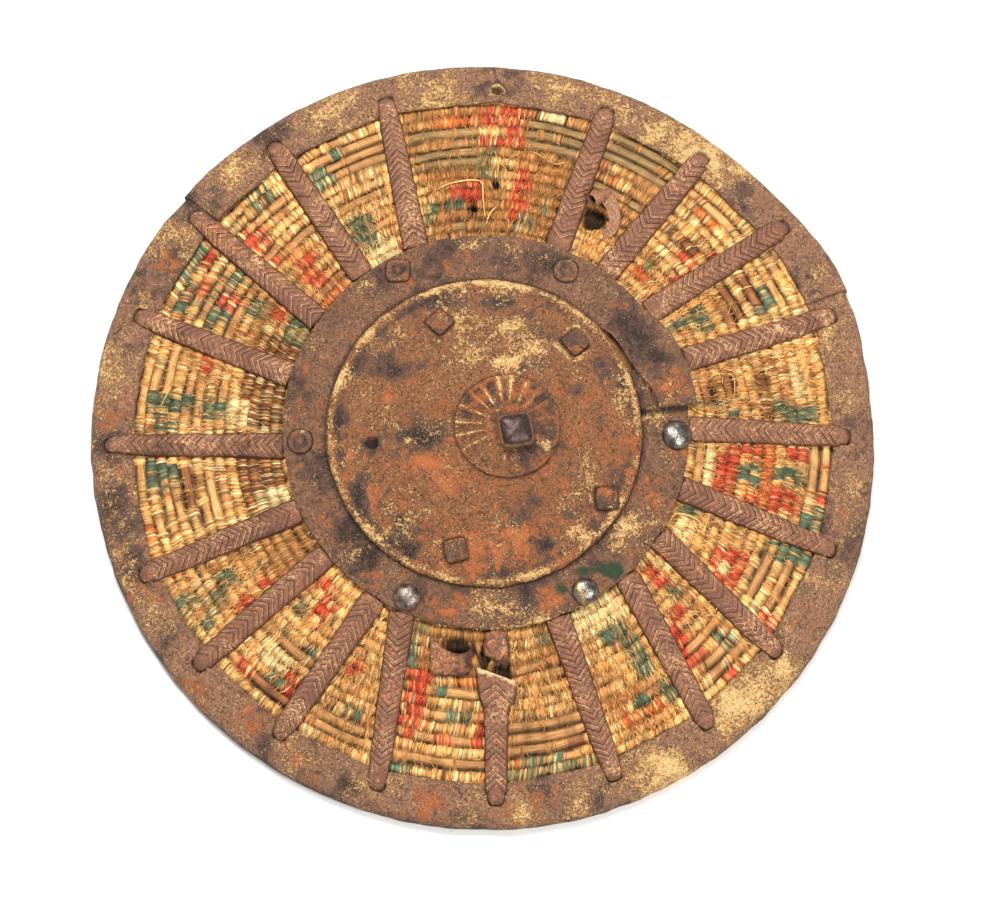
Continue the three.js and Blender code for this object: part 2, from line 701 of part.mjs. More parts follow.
// a bar from its root on the ring's middle line to its tip, as V-shaped rings of three points
function barBody(bar) {
  const tip = polar(RIM_RADIUS - bar.inset, bar.tip);
  const edge = polar(RING_RADIUS + RING_END_SPREAD * ringEndShare(bar.root), bar.root, RING_X, RING_Y);
  const along = tip.clone().sub(edge);
  const length = along.length();
  along.normalize();
  const across = new THREE.Vector2(-along.y, along.x);
  const rings = [];
  const lean = BAR_WIDTH_AT_RING / 2 / Math.tan(radians(CHEVRON_ANGLE)) * bar.apex;

  function ringAt(distance, width, height, sink, slant) {
    const side = (sign) => edge.clone()
      .addScaledVector(along, distance - slant)
      .addScaledVector(across, sign * width / 2);
    const ridge = edge.clone().addScaledVector(along, distance);
    const lay = (place, extra) => new THREE.Vector3(place.x, place.y, barFoot(place) - sink + extra);
    rings.push([lay(side(-1), 0), lay(side(1), 0), lay(ridge, height)]);
  }

  const broken = bar.broken === true;
  const start = broken ? RING_RADIUS + BREAK_PAST_RING - edge.length() : 0;
  if (broken) {
    ringAt(start, BREAK_FLARE, BREAK_SHEET, -BREAK_LIFT, 0);
    ringAt(start + BREAK_LENGTH / 2, BREAK_NECK_WIDTH, BREAK_NECK_HEIGHT, -BREAK_LIFT / 2, 0);
  } else {
    ringAt(-BAR_TONGUE_LENGTH, BAR_TONGUE_WIDTH, BAR_TONGUE_THICKNESS, 0, 0);
    ringAt(STUB_NECK, BAR_TONGUE_WIDTH, BAR_TONGUE_THICKNESS, 0, 0);
  }
  const first = start + (broken ? BREAK_LENGTH : BAR_SHOULDER);
  const last = length - BAR_TIP_LENGTH;
  const chevrons = Math.round((last - first) / CHEVRON_PITCH);
  for (let i = 0; i <= 2 * chevrons; i += 1) {
    const distance = THREE.MathUtils.lerp(first, last, i / (2 * chevrons));
    const share = distance / length;
    const width = THREE.MathUtils.lerp(BAR_WIDTH_AT_RING, BAR_WIDTH_AT_RIM, share);
    const height = BAR_HEIGHT - (i % 2 ? CHEVRON_DEPTH : 0);
    const ease = Math.min(1, i / CHEVRON_EASE, (2 * chevrons - i) / CHEVRON_EASE);
    ringAt(distance, width, height, 0, lean * ease);
  }
  const hook = length - BAR_HOOK_LENGTH;
  ringAt(hook, BAR_HOOK_WIDTH, BAR_TIP_HEIGHT, 0, 0);
  ringAt(length, BAR_TIP_WIDTH, BAR_TIP_HEIGHT, BAR_TIP_HEIGHT + CLEARANCE, 0);
  return skin(rings, [[-1, 0], [1, 0], [0, 1]].map(([x, y]) => new THREE.Vector2(x, y)));
}

BARS.forEach((bar, i) => {
  let body = solidOf(barBody(bar));
  for (const bore of rivetBores) body = body.subtract(bore);
  add(`bar_${String(i + 1).padStart(2, '0')}`, geometryOf(body), barIron);
});

// the short root that the broken bar left under the ring
const brokenBar = BARS.find((bar) => bar.broken);
const stubRings = [
  [-BAR_TONGUE_LENGTH, BAR_TONGUE_WIDTH],
  [STUB_NECK, BAR_TONGUE_WIDTH],
  [STUB_SHOULDER, STUB_WIDTH],
  [STUB_LENGTH, STUB_WIDTH],
].map(([distance, width]) => {
  const middle = polar(RING_RADIUS + distance, brokenBar.root, RING_X, RING_Y);
  const across = polar(width / 2, brokenBar.root + 90);
  const lay = (sign, height) => {
    const place = middle.clone().addScaledVector(across, sign);
    return new THREE.Vector3(place.x, place.y, caneCrest(place.length()) + height);
  };
  const top = CLEARANCE + BAR_TONGUE_THICKNESS;
  return [lay(-1, CLEARANCE), lay(1, CLEARANCE), lay(1, top), lay(-1, top)];
});
add('bar_stub', geometryOf(solidOf(skin(stubRings, unitSquare))), barIron);

// Curled strap: a torn scrap of iron arched up like a low hood, open towards the ring

function strapGeometry() {
  const strapTop = -RING_RADIUS - STRAP_PAST_RING;
  const rings = [];
  for (let i = 0; i <= STRAP_STEPS; i += 1) {
    const share = i / STRAP_STEPS * 2 - 1;
    const arch = Math.cos(share * Math.PI / 2);
    const x = STRAP_X + share * STRAP_SPAN / 2;
    const upper = strapTop - STRAP_BOW * arch;
    const lower = strapTop - STRAP_DEPTH;
    const lay = (y, height) => new THREE.Vector3(x, y, caneCrest(Math.hypot(x, y)) + CLEARANCE + height);
    rings.push([
      lay(upper, STRAP_LIFT * arch),
      lay(upper, STRAP_LIFT * arch + STRAP_SHEET),
      lay(lower, STRAP_LOW_LIFT * arch + STRAP_SHEET),
      lay(lower, STRAP_LOW_LIFT * arch),
    ]);
  }
  return skin(rings, unitSquare);
}

add('curled_strap', geometryOf(solidOf(strapGeometry())), barIron);

// Peeled cane: a split skin of cane that rises beside the hole and rolls up at its end

const holeRadius = RING_RADIUS + HOLE_PAST_RING;
const holePlace = polar(holeRadius, HOLE_ANGLE);

function peelGeometry() {
  const line = new THREE.CatmullRomCurve3(PEEL_LINE.map((point) => new THREE.Vector3(...point)));
  const rings = [];
  for (let i = 0; i <= PEEL_STEPS; i += 1) {
    const share = i / PEEL_STEPS;
    const middle = line.getPoint(share);
    const tangent = line.getTangent(share);
    const up = new THREE.Vector3(0, 0, 1);
    const flat = new THREE.Vector3().crossVectors(up, tangent).normalize();
    const roll = THREE.MathUtils.smoothstep(share, ...PEEL_ROLL) * Math.PI / 2;
    const wide = flat.multiplyScalar(Math.cos(roll)).addScaledVector(up, Math.sin(roll)).normalize();
    const thin = new THREE.Vector3().crossVectors(tangent, wide).normalize();
    const width = PEEL_WIDTH * (1 - PEEL_TAPER * share);
    const base = new THREE.Vector3(holePlace.x, holePlace.y, 0).add(middle);
    base.z += caneCrest(Math.hypot(base.x, base.y)) + PEEL_SHEET;
    rings.push([[-1, -1], [1, -1], [1, 1], [-1, 1]].map(([a, b]) => (
      base.clone().addScaledVector(wide, a * width / 2).addScaledVector(thin, b * PEEL_SHEET / 2)
    )));
  }
  return skin(rings, unitSquare);
}

add('peeled_cane', geometryOf(solidOf(peelGeometry())), bareCane);

// Cane shell

function caneProfile() {
  const inner = RIM_RADIUS - RIM_FRONT_WIDTH;
  const edge = inner + CANE_EDGE_LENGTH;
  const hidden = RIM_SHEET + LAP_STEP + 2 * CLEARANCE;
  const rows = Math.ceil((inner - RING_RADIUS) / CANE_PITCH);
  const front = [];
  for (let row = 0; row < rows; row += 1) {
    const valley = inner - row * CANE_PITCH;
    const crest = valley - CANE_PITCH / 2;
    front.push([valley, caneCrest(valley) - CANE_GROOVE], [crest, caneCrest(crest)]);
  }
  const under = inner - rows * CANE_PITCH;
  front.push([under, caneCrest(under) - CANE_GROOVE], [under / 2, caneCrest(under / 2) - CANE_GROOVE]);
  front.push([0, caneCrest(0) - CANE_GROOVE]);
  const back = [];
  for (let ring = 0; ring <= CANE_BACK_RINGS; ring += 1) {
    const radius = CANE_BACK_TURN * ring / CANE_BACK_RINGS;
    back.push([radius, caneCrest(radius) - CANE_THICKNESS]);
  }
  const brinkStart = inner + CANE_PITCH;
  back.push([brinkStart, hidden], [edge, hidden]);
  const brink = [edge, brinkStart].map((radius) => [radius, caneCrest(radius) - CANE_EDGE_SINK]);
  return back.concat(brink, front);
}

let cane = solidOf(turned(caneProfile(), CANE_SEGMENTS));
for (const bore of [...rivetBores, ...nailBores]) cane = cane.subtract(bore);
const pit = turned([[0, 0], [0.5, 0], [0.5, 2 * HOLE_DEPTH], [0, 2 * HOLE_DEPTH]], HOLE_SIDES);
pit.scale(HOLE_WIDTH, HOLE_HEIGHT, 1);
pit.rotateZ(radians(HOLE_ANGLE - 90));
pit.translate(holePlace.x, holePlace.y, caneCrest(holeRadius) - HOLE_DEPTH);
cane = cane.subtract(solidOf(pit));
add('cane_shell', geometryOf(cane), woundCane);

export default shield;
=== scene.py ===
import bpy
import numpy as np
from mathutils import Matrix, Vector


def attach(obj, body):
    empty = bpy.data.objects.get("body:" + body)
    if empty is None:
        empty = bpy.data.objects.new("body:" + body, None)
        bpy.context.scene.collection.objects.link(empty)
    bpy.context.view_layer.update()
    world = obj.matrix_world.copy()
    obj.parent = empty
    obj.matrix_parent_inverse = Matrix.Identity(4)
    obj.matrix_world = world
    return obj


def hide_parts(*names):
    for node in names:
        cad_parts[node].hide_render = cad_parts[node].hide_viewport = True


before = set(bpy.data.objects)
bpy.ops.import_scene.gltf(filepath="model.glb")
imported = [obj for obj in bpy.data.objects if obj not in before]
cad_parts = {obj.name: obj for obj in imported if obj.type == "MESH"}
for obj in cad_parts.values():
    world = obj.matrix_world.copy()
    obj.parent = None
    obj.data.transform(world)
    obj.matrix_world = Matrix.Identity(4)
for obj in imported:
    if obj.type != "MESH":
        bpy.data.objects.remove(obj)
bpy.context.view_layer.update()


# Camera, floor and light. The shield lies face up on a pale floor, and a long lens looks down on
# it from 76 degrees. A large soft box hangs over its upper left, a weaker one over its lower
# right, and a small one over its top puts the highlight on the polished heads.

VIEW_ELEVATION = np.radians(76.0)
VIEW_DISTANCE = 6.0
VIEW_AIM = Vector((0.0, 0.0, 0.010))
VIEW_LENS = 352.6
FRAME_WIDTH = 1000
FRAME_HEIGHT = 912
AIM_X, AIM_Y = 482.4, 443.1
FLOOR_SIDE = 6.0
FLOOR_DROP = 0.0003
FLOOR_COLOUR = (0.90, 0.90, 0.90)
SKY_COLOUR = (1.0, 0.985, 0.965)
SKY_STRENGTH = 0.5

view_back = Vector((0.0, -np.cos(VIEW_ELEVATION), np.sin(VIEW_ELEVATION)))
camera_data = bpy.data.cameras.new("view")
camera_data.lens = VIEW_LENS
camera_data.clip_end = 50.0
camera_data.shift_x = (FRAME_WIDTH / 2 - AIM_X) / FRAME_WIDTH
camera_data.shift_y = (AIM_Y - FRAME_HEIGHT / 2) / FRAME_WIDTH
camera = bpy.data.objects.new("view", camera_data)
camera.location = VIEW_AIM + view_back * VIEW_DISTANCE
camera.rotation_euler = (-view_back).to_track_quat("-Z", "Y").to_euler()
bpy.context.scene.collection.objects.link(camera)
bpy.context.scene.camera = camera
bpy.context.scene.view_settings.view_transform = "Standard"

# each light: place, what it points at, size, power and colour
LIGHTS = {
    "top_box": ((-0.80, 1.48, 2.88), (0, 0, 0), 0.9, 102.0, (1.0, 0.98, 0.95)),
    "side_box": ((1.32, -1.10, 2.46), (0, 0, 0), 1.0, 60.0, (1.0, 0.97, 0.93)),
    "crown_box": ((0.1, 0.68, 2.5), (0, 0, 0), 0.35, 12.0, (1.0, 0.99, 0.97)),
}
for light_name, (place, target, size, power, colour) in LIGHTS.items():
    light_data = bpy.data.lights.new(light_name, "AREA")
    light_data.shape = "SQUARE"
    light_data.size = size
    light_data.energy = power
    light_data.color = colour
    light = bpy.data.objects.new(light_name, light_data)
    light.location = place
    light.rotation_euler = (Vector(target) - Vector(place)).to_track_quat("-Z", "Y").to_euler()
    bpy.context.scene.collection.objects.link(light)

sky = bpy.data.worlds.new("studio")
sky.use_nodes = True
sky.node_tree.nodes["Background"].inputs["Color"].default_value = (*SKY_COLOUR, 1.0)
sky.node_tree.nodes["Background"].inputs["Strength"].default_value = SKY_STRENGTH
bpy.context.scene.world = sky

floor_mesh = bpy.data.meshes.new("floor")
half = FLOOR_SIDE / 2
floor_mesh.from_pydata(
    [(-half, -half, -FLOOR_DROP), (half, -half, -FLOOR_DROP),
     (half, half, -FLOOR_DROP), (-half, half, -FLOOR_DROP)],
    [], [(0, 1, 2, 3)],
)
floor_paint = bpy.data.materials.new("pale_floor")
floor_paint.use_nodes = True
floor_shader = floor_paint.node_tree.nodes["Principled BSDF"]
floor_shader.inputs["Base Color"].default_value = (*FLOOR_COLOUR, 1.0)
floor_shader.inputs["Roughness"].default_value = 0.9
floor_mesh.materials.append(floor_paint)
floor = bpy.data.objects.new("floor", floor_mesh)
bpy.context.scene.collection.objects.link(floor)


# Rim: two strips of sheet iron folded round the edge of the cane, from hammered plate gone to
# rust. The upper strip lies over the lower one at both laps, and each bar's tip passes through a
# square hole in the front flange.

MM = 0.001
RIM_RADIUS = 240.3
RIM_OVAL = 1.5
RIM_STRETCH_ANGLE = 305
RIM_INNER = 213.8
RIM_BACK_WIDTH = 18
RIM_SHEET = 1.6
RIM_BULGE = 6.5
RIM_BULGE_ANGLE = 26
RIM_BULGE_SPREAD = 11
RIM_TOP = 17.0
RIM_SHOULDER = 12.6
RIM_SHOULDER_INSET = 5.5
RIM_CROWN = 0.5
RIM_FOOT = 5.0
RIM_FOOT_INSET = 3.0
RIM_INNER_TRIM = 1.8
RIM_CHORD = 2.2
RIM_STEP = 0.3
LAP_RIGHT = 23.4
LAP_LEFT = 139.5
LAP_LENGTH = 6.5
LAP_STEP = 1.9
LAP_FADE = 5
CANE_CREST_AT_RIM = 15.1
CANE_DOME_RADIUS = 892

# each bar: angle of its tip, radius of its tip, angle of its root round the ring's middle, and
# which way its herringbone points, 1 outward
BARS = {
    "bar_01": (0.7, 225.0, 1.0, -1), "bar_02": (20.3, 231.0, 20.6, 1),
    "bar_03": (36.3, 232.6, 37.2, -1), "bar_04": (53.0, 228.0, 53.8, -1),
    "bar_05": (69.9, 225.8, 69.4, -1), "bar_06": (105.4, 226.7, 110.2, 1),
    "bar_07": (124.4, 230.0, 127.5, -1), "bar_08": (141.1, 229.9, 145.5, 1),
    "bar_09": (159.4, 227.9, 163.4, 1), "bar_10": (180.5, 231.0, 184.1, 1),
    "bar_11": (202.2, 225.6, 203.5, -1), "bar_12": (219.1, 225.4, 218.5, -1),
    "bar_13": (236.1, 223.9, 237.0, -1), "bar_14": (253.5, 227.3, 245.8, 1),
    "bar_15": (272.1, 227.4, 272.9, -1), "bar_16": (290.9, 226.8, 290.6, 1),
    "bar_17": (307.6, 226.6, 313.5, -1), "bar_18": (323.5, 225.4, 328.0, 1),
    "bar_19": (342.1, 226.2, 343.4, 1),
}
LOST_BAR = (87.7, 225.8)
TIP_HOLE = (7.6, 10.4)
TIP_HOLE_INSET = 2.6
TIP_HOLE_DEPTH = 3.8
TIP_HOLE_LIP = 0.4
TIP_HOLE_LIP_WIDTH = 1.4
# hammer marks: how wide they are, how deep and their octaves, first the broad ones
RIM_HAMMER = ((16.0, 0.45, 3), (3.2, 0.12, 2))


# numbers along one side of a lattice of noise, and how far into it the shield's middle lies
LATTICE = 256
LATTICE_START = 1000.0


def lattice(seed):
    """A square table of even random numbers from -1 to 1, always the same for one seed."""
    return np.random.default_rng(seed).uniform(-1.0, 1.0, (LATTICE, LATTICE))


def noise(x, y, scale, seed, octaves=1):
    """Value noise: random numbers on a square lattice of the given scale, joined by a smooth
    cubic blend, each further octave half as wide and half as strong."""
    total = np.zeros(np.broadcast(x, y).shape)
    for octave in range(octaves):
        table = lattice(seed + 101 * octave)
        u = np.asarray(x) / scale * 2 ** octave + LATTICE_START
        v = np.asarray(y) / scale * 2 ** octave + LATTICE_START
        column = np.floor(u).astype(int)
        row = np.floor(v).astype(int)
        s = u - column
        t = v - row
        s = s * s * (3 - 2 * s)
        t = t * t * (3 - 2 * t)
        left, right = column % LATTICE, (column + 1) % LATTICE
        lower, upper = row % LATTICE, (row + 1) % LATTICE
        low = table[lower, left] * (1 - s) + table[lower, right] * s
        high = table[upper, left] * (1 - s) + table[upper, right] * s
        total = total + (low * (1 - t) + high * t) / 2 ** octave
    return total


def bump_at(value, centre, spread):
    """A bell curve of height 1 over the centre, which falls to a third at the spread."""
    return np.exp(-(((value - centre) / spread) ** 2))


def turn_between(angle, centre):
    """The signed angle from the centre to the angle, in degrees from -180 to 180."""
    return (np.asarray(angle) - centre + 180.0) % 360.0 - 180.0


def smooth_step(value, low, high):
    """0 below low, 1 above high, and a cubic rise between them."""
    share = np.clip((value - low) / (high - low), 0.0, 1.0)
    return share * share * (3 - 2 * share)


def polar(radius, turn, centre=(0.0, 0.0)):
    """The place at a radius and an angle in radians round a centre."""
    return centre[0] + radius * np.cos(turn), centre[1] + radius * np.sin(turn)


def cane_crest(radius):
    """Height of the cane's crests: a paraboloid through the rim's inner edge."""
    return CANE_CREST_AT_RIM + (RIM_INNER ** 2 - radius ** 2) / (2 * CANE_DOME_RADIUS)


def grid_faces(rows, columns, wrap_rows=False, wrap_columns=False):
    """The quads of a grid of points stored row by row, closed on itself where asked."""
    row = np.arange(rows if wrap_rows else rows - 1)
    column = np.arange(columns if wrap_columns else columns - 1)
    row, column = [part.ravel() for part in np.meshgrid(row, column, indexing="ij")]
    below = (row + 1) % rows
    beside = (column + 1) % columns
    return np.stack([row * columns + column, row * columns + beside,
                     below * columns + beside, below * columns + column], axis=1)


def both_faces(outer, inner=None):
    """A sheet's loop of values: along its outer face, then back along its inner face."""
    inner = outer if inner is None else inner
    return np.concatenate([outer, inner[:, ::-1]], axis=1)


def mesh_piece(name, points, faces, material, attributes, node=None):
    """One smooth piece of the shield: points in millimetres, faces as rows of corner numbers, and
    colour or number attributes given for each point."""
    mesh = bpy.data.meshes.new(name)
    points = np.asarray(points, dtype=np.float64).reshape(-1, 3) * MM
    groups = faces if isinstance(faces, list) else [faces]
    corners = np.concatenate([np.ravel(group) for group in groups]).astype(np.int32)
    sizes = np.concatenate([np.full(len(group), len(group[0])) for group in groups])
    mesh.vertices.add(len(points))
    mesh.vertices.foreach_set("co", points.ravel())
    mesh.loops.add(len(corners))
    mesh.loops.foreach_set("vertex_index", corners)
    mesh.polygons.add(len(sizes))
    starts = np.concatenate([[0], np.cumsum(sizes)[:-1]]).astype(np.int32)
    mesh.polygons.foreach_set("loop_start", starts)
    mesh.polygons.foreach_set("use_smooth", np.full(len(sizes), True))
    for key, values in attributes.items():
        values = np.asarray(values, dtype=np.float32)
        if values.ndim == 1:
            layer = mesh.attributes.new(key, "FLOAT", "POINT")
            layer.data.foreach_set("value", values)
        else:
            values = np.concatenate([values[:, :3], np.ones((len(values), 1))], axis=1)
            layer = mesh.attributes.new(key, "FLOAT_COLOR", "POINT")
            layer.data.foreach_set("color", values.astype(np.float32).ravel())
    mesh.update(calc_edges=True)
    mesh.validate()
    piece = bpy.data.objects.new("fine_" + name, mesh)
    bpy.context.scene.collection.objects.link(piece)
    mesh.materials.append(material)
    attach(piece, "root")
    if node:
        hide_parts(node)


class Socket:
    """One value in a shader. Its operators add Math nodes, so a finish reads as a formula."""

    def __init__(self, tree, link):
        self.tree = tree
        self.link = link

    def node(self, kind, settings=None, output=0, **values):
        """Adds a node of a kind, sets what it is, then feeds its sockets by name, or by number
        as _0, and gives back one of its outputs."""
        made = self.tree.nodes.new(kind)
        for key, value in (settings or {}).items():
            setattr(made, key, value)
        for key, value in values.items():
            socket = made.inputs[int(key[1:]) if key[0] == "_" else key.replace("_", " ")]
            if isinstance(value, Socket):
                self.tree.links.new(value.link, socket)
            else:
                socket.default_value = value
        return Socket(self.tree, made.outputs[output])

    def maths(self, operation, *others):
        """One Math node on this value and one or two others."""
        values = {"_%d" % index: value for index, value in enumerate((self, *others))}
        return self.node("ShaderNodeMath", {"operation": operation}, **values)

    def __add__(self, other):
        return self.maths("ADD", other)

    __radd__ = __add__

    def __mul__(self, other):
        return self.maths("MULTIPLY", other)

    __rmul__ = __mul__

    def __sub__(self, other):
        return self.maths("SUBTRACT", other)

    def __rsub__(self, other):
        return self.maths("MULTIPLY_ADD", -1.0, other)

    def between(self, low, high):
        """0 below low, 1 above high, smooth between them."""
        return self.node("ShaderNodeMapRange", {"interpolation_type": "SMOOTHSTEP"},
                         Value=self, From_Min=low, From_Max=high)

    def mix(self, first, second):
        """The first colour where this value is 0 and the second where it is 1."""
        return self.node("ShaderNodeMix", {"data_type": "RGBA"}, 2, _0=self, _6=first, _7=second)

    def tint(self, colour):
        """This colour multiplied by another."""
        return self.node("ShaderNodeMix", {"data_type": "RGBA", "blend_type": "MULTIPLY"}, 2,
                         _0=1.0, _6=self, _7=colour)

    def noise(self, scale, detail=3.0, roughness=0.6, distortion=0.0):
        """Noise from 0 to 1 over this place, with features about 1/scale metres wide."""
        return self.node("ShaderNodeTexNoise", None, "Fac", Vector=self, Scale=scale,
                         Detail=detail, Roughness=roughness, Distortion=distortion)

    def swing(self, scale, detail=4.0, roughness=0.7, distortion=0.0):
        """The same noise about 0, mostly between -0.7 and 0.7."""
        return (self.noise(scale, detail, roughness, distortion) - 0.5) * 5.0

    def stretched(self, factors):
        """This place scaled along its three axes."""
        return self.node("ShaderNodeMapping", Vector=self, Scale=factors)


def colour_of(red, green, blue):
    """A colour given by its three screen values from 0 to 255, as linear light."""
    screen = np.array([red, green, blue]) / 255.0
    linear = np.where(screen <= 0.04045, screen / 12.92, ((screen + 0.055) / 1.055) ** 2.4)
    return tuple(float(value) for value in linear) + (1.0,)


def new_material(name):
    """A material, the place on the object, a reader of attributes, and what feeds the shader."""
    material = bpy.data.materials.new(name)
    material.use_nodes = True
    tree = material.node_tree
    shader = tree.nodes["Principled BSDF"]
    place = Socket(tree, None).node("ShaderNodeTexCoord", None, "Object")

    def attribute(key, output="Fac"):
        """The mesh's values of one name, as a number, a colour or a vector."""
        return place.node("ShaderNodeAttribute", {"attribute_name": key}, output)

    def feed(key, value):
        """Sets one of the shader's sockets to a value or a number."""
        if isinstance(value, Socket):
            tree.links.new(value.link, shader.inputs[key])
        else:
            shader.inputs[key].default_value = value

    def bump(height, strength, distance):
        """Tilts the surface's normal by a height, given in shares of the distance in metres."""
        feed("Normal", place.node("ShaderNodeBump", Strength=strength, Distance=distance,
                                  Height=height))

    return material, place, attribute, feed, bump


PAINTED_SHADE_COLOUR = colour_of(30, 21, 16)
STAIN_GREEN = colour_of(52, 66, 46)
RUST_BROWN, RUST_ORANGE = colour_of(150, 88, 54), colour_of(180, 104, 60)
SCALE_VIOLET, SCALE_DARK = colour_of(96, 70, 60), colour_of(54, 41, 35)
DUST_OCHRE, DUST_PALE = colour_of(184, 136, 82), colour_of(216, 172, 108)
DUST_CREAM = colour_of(238, 212, 158)
PITTED = colour_of(58, 41, 32)


def rusted_iron(name, umber, rusty=0.0, dusty=0.0):
    """Rust in layers: brown umber, then brown-orange veins, grey-violet scale, and ochre dust
    with cream specks. Each layer is a sum of noises from 45 to 0.7 mm wide, so its edge breaks
    up into specks. The attributes pale, orange, dark and green raise a layer; a last one paints
    shade where a place lies deep or under another part. Rusty and dusty raise the orange and
    the ochre over the whole piece."""
    material, place, attribute, feed, bump = new_material(name)
    cloud = place.swing(30.0, 3.0, 0.6, 0.5)
    patch = place.swing(95.0, 4.0, 0.65, 0.8)
    vein = place.swing(260.0, 5.0, 0.7, 1.2)
    grain = place.swing(640.0, 4.0, 0.7)
    speck = place.swing(1500.0, 2.0, 0.7)
    other_cloud = place.swing(22.0, 3.0, 0.6, 0.5)
    other_patch = place.swing(130.0, 5.0, 0.7, 1.0)
    fine = grain * 0.5 + speck * 0.4
    brown = colour_of(*umber)
    dark_umber = tuple(channel * 0.45 for channel in brown[:3]) + (1.0,)
    light_umber = tuple(channel * 1.55 for channel in brown[:3]) + (1.0,)
    base = (fine + vein * 0.4).between(-0.42, 0.14).mix(dark_umber, brown)
    base = (fine + other_patch * 0.5).between(0.1, 0.5).mix(base, light_umber)
    rust = patch * 0.6 + vein * 0.32 + fine * 0.27 + attribute("orange") * 0.78 - 0.08
    base = (rust + rusty).between(0.1, 0.4).mix(base, RUST_BROWN)
    base = (rust + rusty + speck * 0.3).between(0.46, 0.68).mix(base, RUST_ORANGE)
    scale = (other_cloud * 0.45 - patch * 0.45 + other_patch * 0.3 + fine * 0.38
             + attribute("dark") * 0.8 - 0.04)
    base = scale.between(0.1, 0.34).mix(base, SCALE_VIOLET)
    base = (scale + fine * 0.6).between(0.46, 0.68).mix(base, SCALE_DARK)
    dust = (cloud * 0.45 - vein * 0.34 + other_patch * 0.3 + grain * 0.45
            + attribute("pale") * 0.72)
    base = (dust + dusty).between(0.22, 0.5).mix(base, DUST_OCHRE)
    base = (dust + dusty + speck * 0.4).between(0.56, 0.8).mix(base, DUST_PALE)
    base = ((dust + dusty) * 0.6 + speck * 0.9).between(0.68, 0.86).mix(base, DUST_CREAM)
    base = (vein * -0.45 - fine * 0.9).between(0.44, 0.66).mix(base, PITTED)
    base = attribute("green").between(0.3, 0.7).mix(base, STAIN_GREEN)
    # painted shade: the darkest colour where a place lies deep, in a hole or under another part
    base = attribute("soot").mix(base, PAINTED_SHADE_COLOUR)
    feed("Base Color", base)
    feed("Roughness", 0.8 + grain * 0.08)
    feed("Specular IOR Level", 0.3)
    bump(vein * 0.22 + grain * 0.17 + speck * 0.08 + dust.between(0.2, 0.5) * 0.2, 1.0, 0.0016)
    return material


RIM_IRON = rusted_iron("rim_iron", (146, 106, 82), rusty=-0.08, dusty=0.08)


def rim_radius(angle):
    """The rim's outer edge: a circle, drawn a little oval, with one bulge at the right."""
    stretch = np.radians(angle - RIM_STRETCH_ANGLE)
    bulge = bump_at(turn_between(angle, RIM_BULGE_ANGLE), 0, RIM_BULGE_SPREAD)
    return RIM_RADIUS + RIM_OVAL * np.cos(2 * stretch) + RIM_BULGE * bulge


def chord_inset(angle):
    """How far the front flange's inner edge comes in between two bars, where it runs straight."""
    tips = np.sort([tip for tip, *_ in BARS.values()] + [LOST_BAR[0]])
    tips = np.concatenate([tips - 360, tips, tips + 360])
    angle = np.asarray(angle) % 360
    after = np.clip(np.searchsorted(tips, angle, side="right"), 1, len(tips) - 1)
    low, high = tips[after - 1], tips[after]
    share = (angle - low) / (high - low)
    return 4 * share * (1 - share) * RIM_CHORD


def in_lap(angle):
    """1 inside a lap of the two strips, falling to 0 over five degrees beside it."""
    share = np.zeros(np.shape(angle))
    for start in (LAP_RIGHT, LAP_LEFT - LAP_LENGTH):
        away = np.abs(turn_between(angle, start + LAP_LENGTH / 2))
        share = np.maximum(share, np.clip(1 - (away - LAP_LENGTH / 2) / LAP_FADE, 0, 1))
    return share


def tip_frame(x, y, angle, radius):
    """Distances from a place to a bar's hole: outward along the bar, and across it."""
    turn = np.radians(angle)
    along = x * np.cos(turn) + y * np.sin(turn) - radius
    across = -x * np.sin(turn) + y * np.cos(turn)
    return along, across


def hole_share(x, y, grow=0.0):
    """1 inside the square holes for the bars' tips, 0 outside, with a soft edge."""
    share = np.zeros(np.shape(x))
    places = [(tip, reach) for tip, reach, *_ in BARS.values()] + [LOST_BAR]
    for tip, reach in places:
        along, across = tip_frame(x, y, tip, reach - TIP_HOLE_INSET)
        lost = (tip, reach) == LOST_BAR
        size, power = (0.74, 2.2) if lost else (0.92, 4)
        square = ((np.abs(along) / (TIP_HOLE[0] / 2 * size + grow)) ** power
                  + (np.abs(across) / (TIP_HOLE[1] / 2 * (size - 0.1 * lost) + grow)) ** power)
        share = np.maximum(share, 1 - smooth_step(square, 0.75, 1.2))
    return share


def blobs(x, y, places):
    """Soft round spots, each given as angle, radius, spread in millimetres and strength."""
    total = np.zeros(np.shape(x))
    for angle, radius, spread, strength in places:
        middle_x, middle_y = polar(radius, np.radians(angle))
        away = np.hypot(x - middle_x, y - middle_y)
        total = total + strength * np.exp(-((away / spread) ** 2))
    return total


# where the rim is pale with dust, orange or dark: angle, radius, spread and strength
RIM_PALE = [
    (55, 226, 20, 1.0), (62, 222, 14, 0.7), (70, 232, 14, 0.5), (78, 226, 16, 0.8),
    (48, 232, 14, 0.8), (97, 224, 16, 0.35), (112, 226, 18, 0.7), (118, 222, 12, 0.6),
    (132, 230, 18, 0.8), (146, 234, 12, 0.4), (152, 232, 16, 0.3), (165, 232, 20, 0.25),
    (172, 236, 14, 0.2), (189, 230, 16, 0.25), (196, 232, 16, 0.2), (210, 228, 14, 0.4),
    (238, 226, 14, 0.3), (256, 224, 14, 0.4), (285, 232, 14, 0.6), (300, 230, 20, 0.8),
    (310, 228, 16, 1.0), (316, 226, 16, 0.9), (322, 232, 12, 0.6), (338, 228, 14, 0.3),
    (15, 220, 16, 0.5), (8, 228, 16, 0.4), (352, 220, 14, 0.3), (276, 228, 10, 0.4),
]
